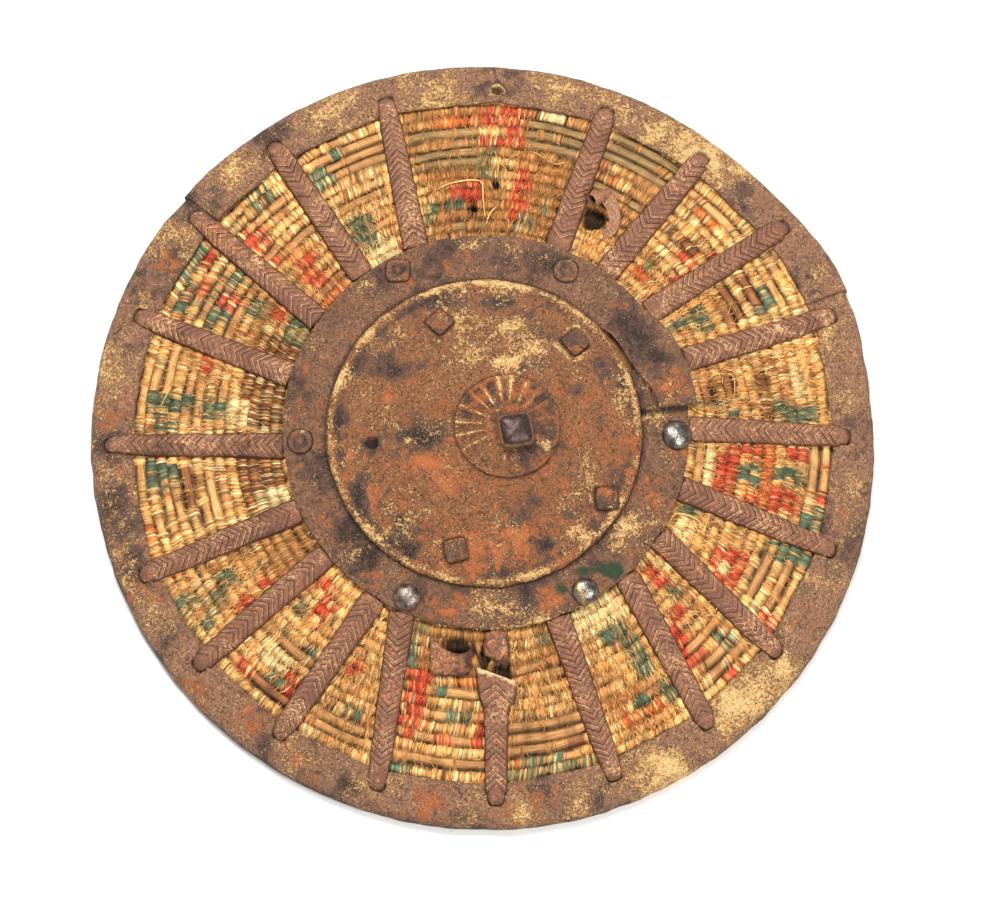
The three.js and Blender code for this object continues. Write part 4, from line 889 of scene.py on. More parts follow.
# patches of one finish: first and last angle, first and last radius, colour
CANE_PATCHES = [
    (0, 19, 120, 214, "gold"), (3, 6.5, 182, 206, "teal"), (3, 5.5, 152, 158, "teal"),
    (5, 7.5, 180, 190, "teal"), (7.5, 9.5, 133, 148, "teal"), (8, 14.5, 193, 200, "straw"),
    (4.5, 15, 172, 179, "worn"), (9, 14, 151, 158, "brown"), (9, 14, 138, 147, "brown"),
    (21, 35, 120, 214, "gold"), (24.5, 32.5, 200, 206, "pale"), (25, 27, 184, 202, "teal"),
    (27, 30, 194, 200, "teal"), (26, 32, 148, 158, "teal"), (29, 31.5, 133, 147, "teal"),
    (27, 32.5, 188, 194, "brown"), (25, 33.5, 174, 181, "brown"), (24.5, 32, 163, 170, "brown"),
    (37.5, 52, 120, 214, "gold"), (40, 51, 198, 205, "pale"), (43, 50, 191, 198, "orange"),
    (39.5, 49, 174, 181, "worn"), (38, 40.3, 178, 186, "red"), (39, 45, 162, 174, "red"),
    (38.5, 41, 148, 156, "red"), (45.5, 48.5, 145, 154, "grey"), (44.5, 49, 137, 146, "orange"),
    (54.5, 68, 120, 214, "ochre"), (54.5, 68, 192, 214, "olive"), (60, 66, 178, 190, "gold"),
    (62, 65, 178, 187, "orange"), (54.5, 67, 170, 178, "olive"), (54.5, 68, 120, 148, "gold"),
    (71, 104, 120, 214, "ochre"), (72, 82, 186, 206, "olive"), (76, 80, 205, 212, "straw"),
    (82.5, 90, 185, 214, "red"), (86.5, 90.5, 191, 199, "gold"), (83.5, 87.5, 160, 181, "gold"),
    (87, 90.5, 164, 183, "grey"), (79.5, 83, 158, 172, "red"), (80, 84, 134, 156, "red"),
    # the two dark patches here lie in holes of the cane: painted shade
    (91, 93.4, 140, 147, "dark"), (86, 88, 157, 162, "dark"), (77, 81.5, 133, 141, "teal"),
    (74, 76.5, 146, 154, "teal"), (90, 98.5, 200, 208, "orange"), (90, 97, 148, 162, "red"),
    (95, 99, 144, 153, "teal"), (101, 104, 139, 151, "teal"), (99, 104, 154, 166, "gold"),
    (90, 98, 128, 138, "olive"), (91, 104, 172, 200, "olive"), (95, 104, 186, 192, "ochre"),
    (107, 124, 120, 214, "gold"), (108, 121, 186, 207, "tan"), (119, 123, 184, 201, "teal"),
    (115.5, 118, 199, 207, "teal"), (111, 121, 167, 174, "tan"), (113, 119, 142, 149, "tan"),
    (117, 122, 139, 161, "teal"), (110, 114, 126, 134, "red"), (113, 122, 122, 139, "straw"),
    (126, 141, 120, 214, "gold"), (129, 133.5, 198, 210, "teal"), (128, 138, 189, 197, "tan"),
    (135.5, 139, 182, 196, "red"), (136.5, 139.5, 163, 175, "red"), (131, 137, 149, 161, "red"),
    (134, 138.5, 136, 151, "red"), (127, 137, 166, 174, "tan"), (129, 138, 129, 137, "brown"),
    (131, 140, 122, 129, "orange"),
    (142, 159, 120, 214, "gold"), (145, 156, 168, 175, "tan"), (146, 157, 157, 162, "pale"),
    (143.5, 151, 204, 214, "teal"), (151, 156, 197, 208, "teal"),
    (143, 147.5, 199, 207, "red"), (148.5, 152.5, 196, 202, "red"), (144, 157, 188, 196, "tan"),
    (144, 157, 180, 189, "teal"), (149.5, 152.5, 174, 184, "red"), (146, 149, 176, 184, "teal"),
    (152.5, 156, 174, 183, "teal"), (147.5, 151.5, 154, 166, "teal"), (145, 158, 150, 155, "ochre"),
    (146.5, 150.5, 141, 151, "red"), (147, 154, 126, 139, "teal"), (154, 162, 120, 150, "worn"),
    (161, 179, 120, 214, "gold"), (167, 176, 201, 212, "pale"), (163, 173, 192, 199, "pale"),
    (167, 175, 181, 188, "tan"), (165, 177, 172, 178, "pale"), (167, 176, 158, 165, "pale"),
    (165, 175, 133, 140, "brown"), (171.5, 174.5, 176, 207, "teal"), (175.5, 178.5, 188, 202, "teal"),
    (172.5, 176, 154, 170, "teal"), (174, 178, 133, 141, "teal"), (163, 166, 170, 179, "red"),
    (162, 178, 120, 151, "worn"), (171, 178, 143, 156, "straw"),
    (182, 202, 120, 214, "gold"), (184, 196, 203, 210, "pale"), (183.5, 189, 188, 206, "teal"),
    (194, 200, 207, 214, "orange"), (187, 197, 190, 197, "pale"), (187, 198, 165, 172, "pale"),
    (189, 199, 156, 161, "tan"), (185, 194, 178, 184, "brown"), (183, 201, 120, 151, "worn"),
    (195, 201, 120, 140, "straw"),
    (205, 217, 120, 214, "gold"), (208, 211, 202, 213, "teal"), (213, 215.5, 196, 209, "teal"),
    (209.5, 213.5, 185, 198, "teal"), (208, 211.5, 174, 184, "teal"), (206, 214, 190, 195, "tan"),
    (214, 217, 174, 183, "red"), (212.5, 215.5, 156, 164, "red"), (205, 217, 120, 152, "ochre"),
    (221, 235, 120, 214, "gold"), (222, 225.5, 201, 209, "red"), (231, 235, 184, 204, "red"),
    (226, 235, 199, 207, "brown"), (224, 231, 177, 191, "straw"), (228, 232, 190, 199, "teal"),
    (225, 227.5, 171, 179, "teal"), (230, 234, 168, 176, "teal"), (222.5, 227, 150, 158, "teal"),
    (229.5, 232.5, 143, 151, "teal"), (226, 232, 173, 181, "tan"), (226, 231, 140, 153, "red"),
    (222.5, 227, 128, 139, "red"), (233.5, 235.5, 142, 148, "gold"),
    (238, 252, 120, 214, "gold"), (240, 249, 190, 207, "tan"), (243.5, 247, 183, 190, "teal"),
    (240.5, 243.5, 161, 169, "red"),
    (249, 271, 120, 214, "gold"), (256, 270, 158, 165, "pale"), (256, 271, 172, 178, "pale"),
    (253, 271, 188, 194, "tan"), (253, 271, 200, 206, "tan"), (254, 271, 208, 214, "gold"),
    (254.5, 258.5, 207, 214, "teal"),
    (255, 257.5, 186, 195, "red"), (260.5, 263.5, 186, 195, "red"),
    (268, 271, 176, 191, "red"), (253.5, 259, 150, 183, "red"), (262.5, 267.5, 170, 180, "teal"),
    (259.5, 262.5, 159, 166, "teal"), (264, 269, 151, 159, "orange"), (253, 258, 141, 149, "red"),
    (249, 254.5, 120, 151, "grey"), (251, 253.5, 138, 151, "teal"), (255, 272, 120, 150, "ochre"),
    (273, 289.5, 120, 214, "ochre"), (274, 289, 207, 214, "grey"), (275, 289, 180, 199, "tan"),
    (275, 288, 203, 208, "tan"), (276, 283.5, 198, 204, "teal"), (279.5, 282.5, 172, 180, "teal"),
    (283, 287.5, 128, 136, "teal"), (277, 289, 146, 154, "tan"), (285, 288.5, 193, 202, "brown"),
    (275, 289, 155, 179, "gold"), (276, 284, 124, 141, "gold"), (272, 277, 120, 152, "worn"),
    (292, 307, 120, 214, "gold"), (296, 304, 194, 202, "orange"), (299, 302, 186, 194, "teal"),
    (304.5, 307, 188, 202, "teal"), (303, 306.5, 153, 179, "teal"), (299, 306.5, 141, 153, "teal"),
    (294, 310, 122, 141, "straw"), (295, 303, 180, 187, "ochre"),
    (309, 322.5, 120, 214, "gold"), (314.5, 318.5, 207, 214, "red"), (312.5, 316.5, 188, 196, "red"),
    (311.5, 315.5, 163, 191, "red"), (315, 319, 158, 167, "red"), (318.5, 322, 128, 147, "red"),
    (312, 321, 202, 209, "tan"), (314, 319.5, 193, 200, "tan"), (313.5, 320.5, 178, 186, "tan"),
    (318.5, 321.5, 189, 197, "teal"), (318.5, 322, 147, 155, "teal"),
    (325, 341, 120, 214, "gold"), (327, 338.5, 202, 210, "tan"), (329, 337.5, 184, 192, "tan"),
    (325.5, 328.5, 202, 210, "red"), (328, 335, 157, 180, "red"), (330, 333, 164, 173, "straw"),
    (337.5, 341, 187, 214, "teal"), (337.5, 341, 128, 141, "teal"), (330, 337, 130, 141, "straw"),
    (344, 359, 120, 214, "gold"), (344.5, 348.5, 198, 214, "teal"), (348, 351.5, 204, 212, "red"),
    (346, 350, 178, 197, "red"), (355.5, 358.5, 187, 198, "red"), (346, 349.5, 163, 174, "red"),
    (355.5, 358.5, 149, 172, "red"), (346.5, 355.5, 143, 156, "red"), (351, 359, 199, 213, "pale"),
    (345.5, 358.5, 172, 180, "orange"), (347.5, 357, 127, 135, "tan"), (351.5, 354.5, 178, 197, "teal"),
    (349.5, 354.5, 157, 171, "teal"), (346.5, 358.5, 136, 142, "straw"),
]
# hollows: angle, radius, half sizes across and outward, where the edge starts and ends, strength.
# The first is by the peeled cane, two are in the top gap and three round the broken bar's pieces. Each is
# sunk, and painted dark as shade.
HOLLOWS = [
    (63.5, 153.5, 7.4, 7.9, 0.7, 1.1, 1.0), (92, 143.5, 3.2, 3.2, 0.5, 1.0, 0.85),
    (87, 160, 2.4, 2.4, 0.5, 1.0, 0.85), (263.4, 133.5, 12.5, 6.6, 0.5, 1.0, 0.85),
    (274.4, 149.0, 10.5, 7.0, 0.5, 1.0, 0.85), (270.4, 140.0, 4.0, 10.0, 0.5, 1.0, 0.85),
]


def cane_thread():
    """Silk thread over cane. Where thread is left, fine streaks run across the row; where the
    cane is bare, its grain runs along the row. The attribute lay gives the place along the row
    and the place across it, and bare is 1 where the thread is gone."""
    material, place, attribute, feed, bump = new_material("wound_cane")
    tone = attribute("tone", "Color")
    lay = attribute("lay", "Vector")
    bare = attribute("bare")
    across_row = lay.stretched((1.9, 0.2, 1.0)).swing(1.0, 3.0, 0.7, 0.6)
    along_row = lay.stretched((0.07, 1.6, 1.0)).swing(1.0, 4.0, 0.75, 0.35)
    streak = across_row + (along_row - across_row) * bare
    soft = place.noise(150.0, 4.0, 0.65)
    speck = place.noise(1500.0, 3.0, 0.7)
    base = (streak + speck * 0.6 - 0.3).between(-0.75, 0.0).mix(
        tone.tint((0.40, 0.33, 0.26, 1.0)), tone)
    base = (streak + soft * 0.5).between(0.4, 1.0).mix(base, tone.tint((1.42, 1.4, 1.34, 1.0)))
    feed("Base Color", base)
    feed("Roughness", 0.66 + soft * 0.22)
    feed("Specular IOR Level", 0.25)
    bump(streak * 0.3 + speck * 0.3, 0.8, 0.0009)
    return material


WOUND_CANE = cane_thread()


def line_angle(bar, radius):
    """The polar angle at which a bar's middle line crosses a radius."""
    start, along, across, _ = bar_line(bar)
    heading = np.degrees(np.arctan2(along[1], along[0])) % 360
    return heading + np.degrees(np.arcsin(start @ across / radius))


def gap_angles(low_bar, high_bar, radius):
    """The polar angles of two neighbour bars at a radius, the second one past the first."""
    low, high = line_angle(low_bar, radius), line_angle(high_bar, radius)
    return low, np.where(high < low, high + 360, high)


def cell_finish(angle, radius, rng):
    """What each strand of each row is: its colour, from the patches with edges broken by noise,
    and whether the thread is lost there."""
    palette = {key: np.array(colour_of(*tone)[:3]) for key, tone in CANE_COLOURS.items()}
    colour = np.tile(palette["gold"], (*angle.shape, 1))
    bare = np.zeros(angle.shape, bool)
    shift = rng.uniform(-0.5, 0.5, angle.shape) + noise(angle, radius * 0.4, 1.3, 61) * 0.8
    swell = rng.uniform(-1.0, 1.0, angle.shape) * 1.5

    def has(tone):
        """Which cells have one of the palette's colours."""
        return np.abs(colour - palette[tone]).sum(-1) < 1e-6

    for first, last, low, high, tone in CANE_PATCHES:
        inside = ((angle + shift > first) & (angle + shift < last)
                  & (radius + swell > low) & (radius + swell < high))
        colour[inside] = palette[tone]
        bare[inside] = tone in BARE_COLOURS
    remains = bare & (noise(angle, radius * 0.5, 1.7, 83, 2) + rng.normal(0, 0.15, angle.shape) > 0.5)
    bare &= ~remains
    colour[remains] = palette["ochre"]
    dyed = has("red") | has("teal") | has("orange") | has("grey")
    mixed = dyed & (rng.random(angle.shape) < 0.2 + 0.25 * noise(angle, radius, 1.1, 66))
    gold = mixed | has("gold")
    colour[mixed] = palette["gold"]
    ochre = gold & (noise(angle, radius * 0.5, 2.2, 67, 2) + rng.normal(0, 0.3, angle.shape) > 0.3)
    colour[ochre] = palette["ochre"]
    worn = has("worn")
    flake = rng.random(angle.shape)
    colour[worn & (flake > 0.86)] = palette["straw"]
    colour[worn & (flake < 0.3)] = palette["ochre"]
    straw = gold & (rng.random(angle.shape) > 0.82)
    colour[straw] = palette["straw"]
    lost = gold & (noise(angle, radius, 2.4, 71, 2) > 0.8)
    bare = bare | lost
    colour[lost] = palette["tan"]
    stray = ~bare & (rng.random(angle.shape) > 0.96)
    choice = rng.integers(0, 4, angle.shape)
    for index, tone in enumerate(("red", "teal", "dark", "orange")):
        colour[stray & (choice == index)] = palette[tone]
    return colour, bare


def rod_at(radius):
    """The height of a row of cane at a radius, below its crest."""
    share = ((CANE_OUTER - radius) / CANE_PITCH) % 1.0
    shares, heights = np.array(ROD_SAMPLES)[:, :2].T
    return np.interp(share, np.append(shares, 1.0), np.append(heights, heights[0]))


def cane_gap(name, low_bar, high_bar, seed):
    """The wound cane between two bars: a grid whose rows run round the shield, six samples to a
    row of cane and one column to a strand, closed below by a wall and a fan of triangles. Every
    strand of every row has its own height, place and brightness, and the deep lines between the
    rows are half bridged where the thread is matted."""
    rng = np.random.default_rng(seed)
    rod_share, rod_height, rod_light = [np.array(part) for part in zip(*ROD_SAMPLES)]
    slat_height, slat_light = [np.array(part) for part in zip(*SLAT_SAMPLES)]
    row = np.append(np.repeat(np.arange(CANE_ROWS), len(ROD_SAMPLES)), CANE_ROWS - 1)
    sample = np.append(np.tile(np.arange(len(ROD_SAMPLES)), CANE_ROWS), 0)
    radius = CANE_OUTER - (row + rod_share[sample]) * CANE_PITCH
    radius[-1] = CANE_OUTER - CANE_ROWS * CANE_PITCH
    low, high = gap_angles(low_bar, high_bar, radius)
    span = np.radians(np.mean(high - low)) * CANE_MEAN_RADIUS
    strands = int(span / STRAND_PITCH)
    column = np.arange(strands + 1)
    # each row's strands start at their own place and lean their own way
    phase = rng.uniform(-0.5, 0.5, CANE_ROWS)
    slant = rng.normal(0.0, 1.1, (CANE_ROWS, 1)) + 1.6 * noise(
        column[None, :], np.arange(CANE_ROWS)[:, None] * 40.0, 11.0, seed + 3, 2)
    place = rng.uniform(-0.38, 0.38, (CANE_ROWS, strands + 1))
    u = (column[None, :] + place[row] + phase[row][:, None]
         + slant[row] * (rod_share[sample][:, None] - 0.5))
    u = np.clip(u / strands, 0, 1)
    u[:, 0], u[:, -1] = 0, 1
    angle = low[:, None] + (high - low)[:, None] * u
    crest = CANE_OUTER - (np.arange(CANE_ROWS)[:, None] + 0.5) * CANE_PITCH
    low_crest, high_crest = gap_angles(low_bar, high_bar, crest)
    cell_angle = low_crest + (high_crest - low_crest) * column[None, :] / strands
    wrapped = cell_angle % 360
    colour, bare = cell_finish(wrapped, crest + 0 * wrapped, rng)
    light = np.clip(rng.normal(1.0, 0.3, bare.shape) * (1 + 0.3 * noise(
        wrapped, crest * 0.4, 0.9, seed + 9, 2)), 0.35, 1.7)
    light = np.where(bare, 0.96 + 0.26 * noise(wrapped, crest, 1.6, seed + 5, 2), light)
    strand_height = rng.uniform(-0.42, 0.16, bare.shape)
    matted = np.clip(0.5 + 0.7 * noise(wrapped, crest * 0.35, 1.5, seed + 1, 2), 0, 1)
    bare_here = bare[row]
    profile = np.where(bare_here, slat_height[sample][:, None],
                       rod_height[sample][:, None] * (1.05 - 0.7 * matted[row]))
    rise = np.where(bare_here, -BARE_DROP + 0.15 * noise(angle * 3, radius[:, None], 6.0, 75),
                    strand_height[row])
    wobble = noise(angle * 3.0, radius[:, None] * 0 + row[:, None] * 31.0, 26.0, 73, 2)
    radial = radius[:, None] + wobble * 1.1 + np.where(bare_here, 0, rng.normal(0, 0.3, u.shape))
    height = cane_crest(radial) + profile + rise
    height = np.minimum(height, cane_crest(radial) + 0.15)
    turn = np.radians(angle)
    x, y = polar(radial, turn)
    pit = pit_share(x, y)
    height = height - pit * HOLLOW_DEPTH
    # painted light and shade across each row: dark in the valleys, bright on the crest, evened out where
    # the thread is matted; the crevices darker again as shade
    shade = rod_light[sample][:, None] + (0.9 - rod_light[sample][:, None]) * 0.7 * matted[row]
    crevice = smooth_step(noise(wrapped, crest * 0.3, 1.3, seed + 13, 2), 0.35, 0.85)[row]
    crevice = crevice * np.isin(sample, CREVICE_SAMPLES)[:, None]
    shade = np.where(bare_here, slat_light[sample][:, None], shade) * (1 - 0.62 * crevice)
    height = height - CREVICE_DEPTH * crevice
    cloud = 1 + 0.17 * noise(x, y, 24.0, 85, 2)
    tone = colour[row] * (light[row] * shade * cloud)[..., None]
    # painted shade: the holes darkened nearly to black
    tone = tone * (1 - 0.93 * np.clip(pit * 1.3, 0, 1))[..., None]
    top = np.stack([x, y, height], axis=2).reshape(-1, 3)
    rows, count = x.shape
    faces = grid_faces(rows, count)
    # the wall: the grid's outline, and the same outline lower down
    grid = np.arange(rows * count).reshape(rows, count)
    outline = np.concatenate([grid[0, :-1], grid[:-1, -1], grid[-1, :0:-1], grid[:0:-1, 0]])
    base = top[outline].copy()
    base[:, 2] = cane_crest(np.hypot(base[:, 0], base[:, 1])) - CANE_WALL_DEPTH
    step = np.arange(len(outline))
    after = (step + 1) % len(outline)
    wall = np.stack([len(top) + step, len(top) + after, outline[after], outline], axis=1)
    hub = len(top) + len(base)
    fan = np.stack([len(top) + after, len(top) + step, np.full(len(step), hub)], axis=1)
    points = np.concatenate([top, base, base.mean(axis=0)[None, :]])
    hidden = len(base) + 1
    tones = np.concatenate([tone.reshape(-1, 3), np.full((hidden, 3), 0.02)])
    lay = np.stack([turn * CANE_MEAN_RADIUS, radial, 0 * turn], axis=2).reshape(-1, 3)
    attributes = {
        "tone": tones,
        "lay": np.concatenate([lay, np.zeros((hidden, 3))]),
        "bare": np.append(bare_here.ravel() * 1.0, np.ones(hidden)),
    }
    mesh_piece(name, points, [faces, wall, fan], WOUND_CANE, attributes,
               node="cane_shell")


def pit_share(x, y):
    """1 in the dark holes in the cane, 0 outside them."""
    ragged = noise(x, y, 2.6, 77, 2) * 0.2
    share = np.zeros(np.shape(x))
    for angle, radius, half_wide, half_high, inside, outside, strength in HOLLOWS:
        along, across = tip_frame(x, y, angle, radius)
        away = np.hypot(along / half_high, across / half_wide) + ragged
        share = np.maximum(share, strength * (1 - smooth_step(away, inside, outside)))
    return share


bar_names = list(BARS)
for index, bar_name in enumerate(bar_names):
    next_bar = bar_names[(index + 1) % len(bar_names)]
    cane_gap("cane_" + bar_name[4:] + "_" + next_bar[4:], bar_name, next_bar, 500 + 7 * index)


def full_turn(steps):
    """Even angles round a whole circle, in radians."""
    return np.linspace(0, 2 * np.pi, steps, endpoint=False)


def ball_faces(rows, steps):
    """The faces of a grid of closed rings, with both its ends closed by a fan of triangles on a
    pole. The two poles follow the grid's points, first the first row's."""
    step = np.arange(steps)
    after = (step + 1) % steps
    last = (rows - 1) * steps
    pole = 0 * step + rows * steps
    fans = np.concatenate([np.stack([after, step, pole], axis=1),
                           np.stack([last + step, last + after, pole + 1], axis=1)])
    return [grid_faces(rows, steps, wrap_columns=True), fans]


# the coil's body in section: rows of its back down from the crests, its foot under the rim as
# radius and height, and its front as radius and depth under the crests
CORE_STEPS = 132
CORE_BACK_LAST = 206.8
CORE_BACK_DEPTH = 6.4
CORE_ROW_DEPTH = 1.6
CORE_FOOT = [(220.8, 4.2), (231.0, 4.2)]
CORE_FRONT = [(231.0, 2.4), (221.2, 3.2), (221.2, 6.1), (115, 6.1), (115, 3.0), (60, 3.0), (0, 3.0)]
CORE_COLOUR = (158, 116, 74)


def cane_core():
    """The coil behind: a turned body whose front lies under the thread and whose back is plain
    round rows of cane."""
    turn = full_turn(CORE_STEPS)
    back_rows = np.arange(0, CORE_BACK_LAST, CANE_PITCH / 3)
    rod = np.abs(np.sin(np.pi * back_rows / CANE_PITCH)) ** 0.6
    back_height = cane_crest(back_rows) - CORE_BACK_DEPTH - CORE_ROW_DEPTH * rod
    front = [(radius, cane_crest(radius) - depth) for radius, depth in CORE_FRONT]
    profile = np.concatenate([np.column_stack([back_rows, back_height]), CORE_FOOT, front])
    x, y = polar(profile[1:-1, :1], turn)
    points = np.stack([x, y, profile[1:-1, 1:] + 0 * turn], axis=2).reshape(-1, 3)
    points = np.concatenate([points, [[0, 0, profile[0, 1]], [0, 0, profile[-1, 1]]]])
    px, py = points[:, 0], points[:, 1]
    place, angle = np.hypot(px, py), np.arctan2(py, px)
    grain = 1 + 0.18 * noise(np.degrees(angle) * 2, place, 5.0, 79, 2)
    attributes = {
        "tone": np.array(colour_of(*CORE_COLOUR)[:3])[None, :] * grain[:, None],
        "lay": np.column_stack([angle * CANE_MEAN_RADIUS, place, 0 * place]),
        "bare": np.ones(len(points)),
    }
    mesh_piece("cane_back", points, ball_faces(len(profile) - 2, CORE_STEPS), WOUND_CANE,
               attributes, node="cane_shell")


cane_core()


# Loose thread: frayed ends and loops of silk over the rows, thickest where the thread is worn to
# fluff. Each fibre is a thin tube that springs from the row under it.

# where the thread is most frayed: first and last angle, first and last radius, share
FRAYED = [
    (0, 19, 122, 214, 1.0), (21, 35, 122, 172, 1.0), (37, 52, 120, 155, 1.0), (54, 68, 120, 148, 1.0),
    (107, 123, 120, 170, 1.0), (126, 140, 120, 165, 0.8), (143, 159, 122, 170, 0.7),
    (162, 179, 140, 212, 0.6), (205, 217, 150, 214, 0.9), (221, 235, 120, 200, 0.8),
    (239, 252, 120, 214, 0.8), (273, 289, 120, 182, 1.0), (292, 308, 120, 212, 1.0),
    (309, 323, 120, 180, 0.8), (325, 341, 122, 182, 0.8), (344, 359, 122, 200, 1.0),
    (72, 104, 130, 182, 0.8), (80, 99, 182, 213, 0.6), (254, 260, 140, 190, 0.5),
]
FIBRE_STEPS = 4
FIBRE_TRIES = 9350
FIBRE_RADII = (122.0, 212.0)
FIBRE_LIMIT = 213.5
FIBRE_BAR_GAP = 7.2
BARE_FLUFF = (214, 160, 92)
PIXEL = 0.61256
AIM_HEIGHT = 10.0
CORD_COLOUR = (238, 196, 124)
# each long loose cord: half its thickness, and places as pixels of the photograph and lift
LOOSE_CORDS = [
    (0.7, [(436, 189, 0.4), (448, 183, 1.2), (461, 180, 1.6), (474, 179, 1.6), (482, 182, 1.8),
           (483, 197, 1.6), (485, 216, 0.4)]),
    (0.6, [(486, 224, 0.3), (490, 213, 1.4), (498, 204, 0.4)]),
    (0.4, [(510, 157, 0.4), (522, 151, 1.2), (535, 151, 1.5), (546, 158, 1.2), (556, 163, 1.0),
           (569, 160, 0.3)]),
    (0.6, [(666, 527, 0.3), (673, 514, 1.4), (684, 514, 2.0), (697, 520, 2.0), (699, 528, 1.6),
           (695, 537, 0.4)]),
    (0.5, [(709, 511, 0.3), (705, 524, 1.6), (700, 533, 2.2), (695, 527, 2.4), (692, 518, 0.8)]),
    (0.4, [(722, 384, 0.3), (723, 376, 1.0), (729, 374, 1.2), (734, 380, 1.2), (734, 397, 0.3)]),
    (0.6, [(690, 407, 0.4), (696, 411, 1.4), (704, 414, 0.4)]),
    (0.5, [(161, 406, 0.3), (166, 396, 1.2), (173, 383, 0.3)]),
    (0.6, [(228, 421, 0.3), (236, 414, 1.4), (249, 405, 0.3)]),
    (0.4, [(703, 604, 0.3), (710, 600, 1.2), (716, 603, 1.4), (713, 613, 0.4)]),
]


def bar_distance(x, y):
    """The distance from a place to the nearest bar's middle line."""
    nearest = np.full(np.shape(x), 99.0)
    for bar in BARS:
        start, along, across, length = bar_line(bar)
        s = (x - start[0]) * along[0] + (y - start[1]) * along[1]
        side = np.abs((x - start[0]) * across[0] + (y - start[1]) * across[1])
        first = BREAK_START if bar == BROKEN_BAR else -20.0
        nearest = np.where((s > first) & (s < length), np.minimum(nearest, side), nearest)
    return nearest


def fibres(name, middle, thickness, tone):
    """Thin three-sided tubes along given lines: middle is fibre, step, and x, y, z."""
    tangent = np.gradient(middle, axis=1)
    tangent /= np.linalg.norm(tangent, axis=2, keepdims=True) + 1e-9
    side = np.cross([0, 0, 1.0], tangent)
    side /= np.linalg.norm(side, axis=2, keepdims=True) + 1e-9
    top = np.cross(tangent, side)
    share = np.linspace(0, 1, middle.shape[1])
    radius = thickness[:, None] * (1 - 0.55 * np.abs(share * 2 - 1) ** 3)[None, :]
    corner = np.radians([90, 210, 330])[:, None]
    spokes = side[:, :, None] * np.cos(corner) + top[:, :, None] * np.sin(corner)
    points = middle[:, :, None] + radius[..., None, None] * spokes
    count, steps = middle.shape[:2]
    tube = grid_faces(steps, 3, wrap_columns=True)
    ends = np.array([[0, 2, 1], [3 * steps - 3, 3 * steps - 2, 3 * steps - 1]])
    base = (np.arange(count) * steps * 3)[:, None, None]
    tones = np.repeat(tone, steps * 3, axis=0)
    lay = np.zeros((len(tones), 3))
    lay[:, 0] = np.repeat(np.arange(count) * 7.3, steps * 3)
    lay[:, 1] = np.tile(np.repeat(np.arange(steps) * 1.5, 3), count)
    faces = [(tube[None] + base).reshape(-1, 4), (ends[None] + base).reshape(-1, 3)]
    attributes = {"tone": tones, "lay": lay, "bare": np.zeros(len(tones))}
    mesh_piece(name, points, faces, WOUND_CANE, attributes)


def frayed_thread(name, first, last, seed):
    """Frayed ends between two angles: short curved fibres that mostly run across the rows, take
    the colour of the thread under them, and lift off it in the middle."""
    rng = np.random.default_rng(seed)
    angle = rng.uniform(first, last, FIBRE_TRIES)
    radius = np.sqrt(rng.uniform(*np.square(FIBRE_RADII), FIBRE_TRIES))
    weight = np.full(FIBRE_TRIES, 0.16)
    for low, high, inner, outer, share in FRAYED:
        inside = (angle > low) & (angle < high) & (radius > inner) & (radius < outer)
        weight[inside] = share
    colour, bare = cell_finish(angle, radius, rng)
    keep = rng.random(FIBRE_TRIES) < weight * np.where(bare, 0.14, 1.0)
    angle, radius, colour = angle[keep], radius[keep], colour[keep]
    count = len(angle)
    colour[bare[keep]] = colour_of(*BARE_FLUFF)[:3]
    length = rng.gamma(4.0, 1.0, count) + 1.2
    way = np.radians(angle) + rng.normal(0, 0.42, count)
    share = np.linspace(-0.5, 0.5, FIBRE_STEPS)[None, :]
    bend = rng.normal(0, 0.42, count)[:, None]
    heading = way[:, None] + bend * share * 2
    x, y = polar(radius[:, None], np.radians(angle)[:, None])
    x, y = polar(length[:, None] * share, heading, (x, y))
    wave = rng.normal(0, 0.35, count)[:, None] * np.sin(share * 9 + rng.uniform(0, 6, count)[:, None])
    x = x - np.sin(heading) * wave
    y = y + np.cos(heading) * wave
    place = np.hypot(x, y)
    arch = rng.uniform(0.2, 1.15, count)[:, None] * (1 - 4 * share ** 2)
    z = cane_crest(place) + 0.35 * rod_at(place) + 0.1 + arch
    clear = (bar_distance(x, y).min(axis=1) > FIBRE_BAR_GAP) & (place.max(axis=1) < FIBRE_LIMIT)
    clear &= np.hypot(x - RING_CENTRE[0], y - RING_CENTRE[1]).min(axis=1) > RING_RADIUS + 0.5
    clear &= pit_share(x, y).max(axis=1) < 0.3
    middle = np.stack([x, y, z], axis=2)[clear]
    light = np.clip(rng.normal(1.12, 0.25, count), 0.5, 1.7)[clear][:, None]
    thick = rng.uniform(0.11, 0.22, count)[clear]
    fibres(name, middle, thick, colour[clear] * light)


def catmull(points, count):
    """A smooth line through the points, as a row of evenly spaced parameters."""
    points = np.asarray(points, float)
    padded = np.concatenate([[2 * points[0] - points[1]], points, [2 * points[-1] - points[-2]]])
    t = np.linspace(0, len(points) - 1 - 1e-9, count)
    index = t.astype(int)
    s = (t - index)[:, None]
    p0, p1, p2, p3 = [padded[index + shift] for shift in range(4)]
    return 0.5 * (2 * p1 + (p2 - p0) * s + (2 * p0 - 5 * p1 + 4 * p2 - p3) * s ** 2
                  + (3 * p1 - p0 - 3 * p2 + p3) * s ** 3)


def seen_at(column, row, height):
    """The place seen at a pixel of the photograph, at a height over the floor."""
    down = (row - AIM_Y) * PIXEL + np.cos(VIEW_ELEVATION) * (height - AIM_HEIGHT)
    return (column - AIM_X) * PIXEL, -down / np.sin(VIEW_ELEVATION)


def crest_point(column, row, lift):
    """The place seen at a pixel of the photograph, at a lift over the cane's crests."""
    height = 30.0
    for _ in range(4):
        x, y = seen_at(column, row, height)
        height = float(cane_crest(np.hypot(x, y))) + lift
    return np.array([x, y, height])


def loose_cords():
    """The few long cords that hang loose, each along its own smooth line."""
    thick, cords = zip(*LOOSE_CORDS)
    lines = np.stack([catmull([crest_point(*place) for place in cord], 14) for cord in cords])
    fibres("loose_cords", lines, np.array(thick), np.tile(colour_of(*CORD_COLOUR)[:3], (len(thick), 1)))


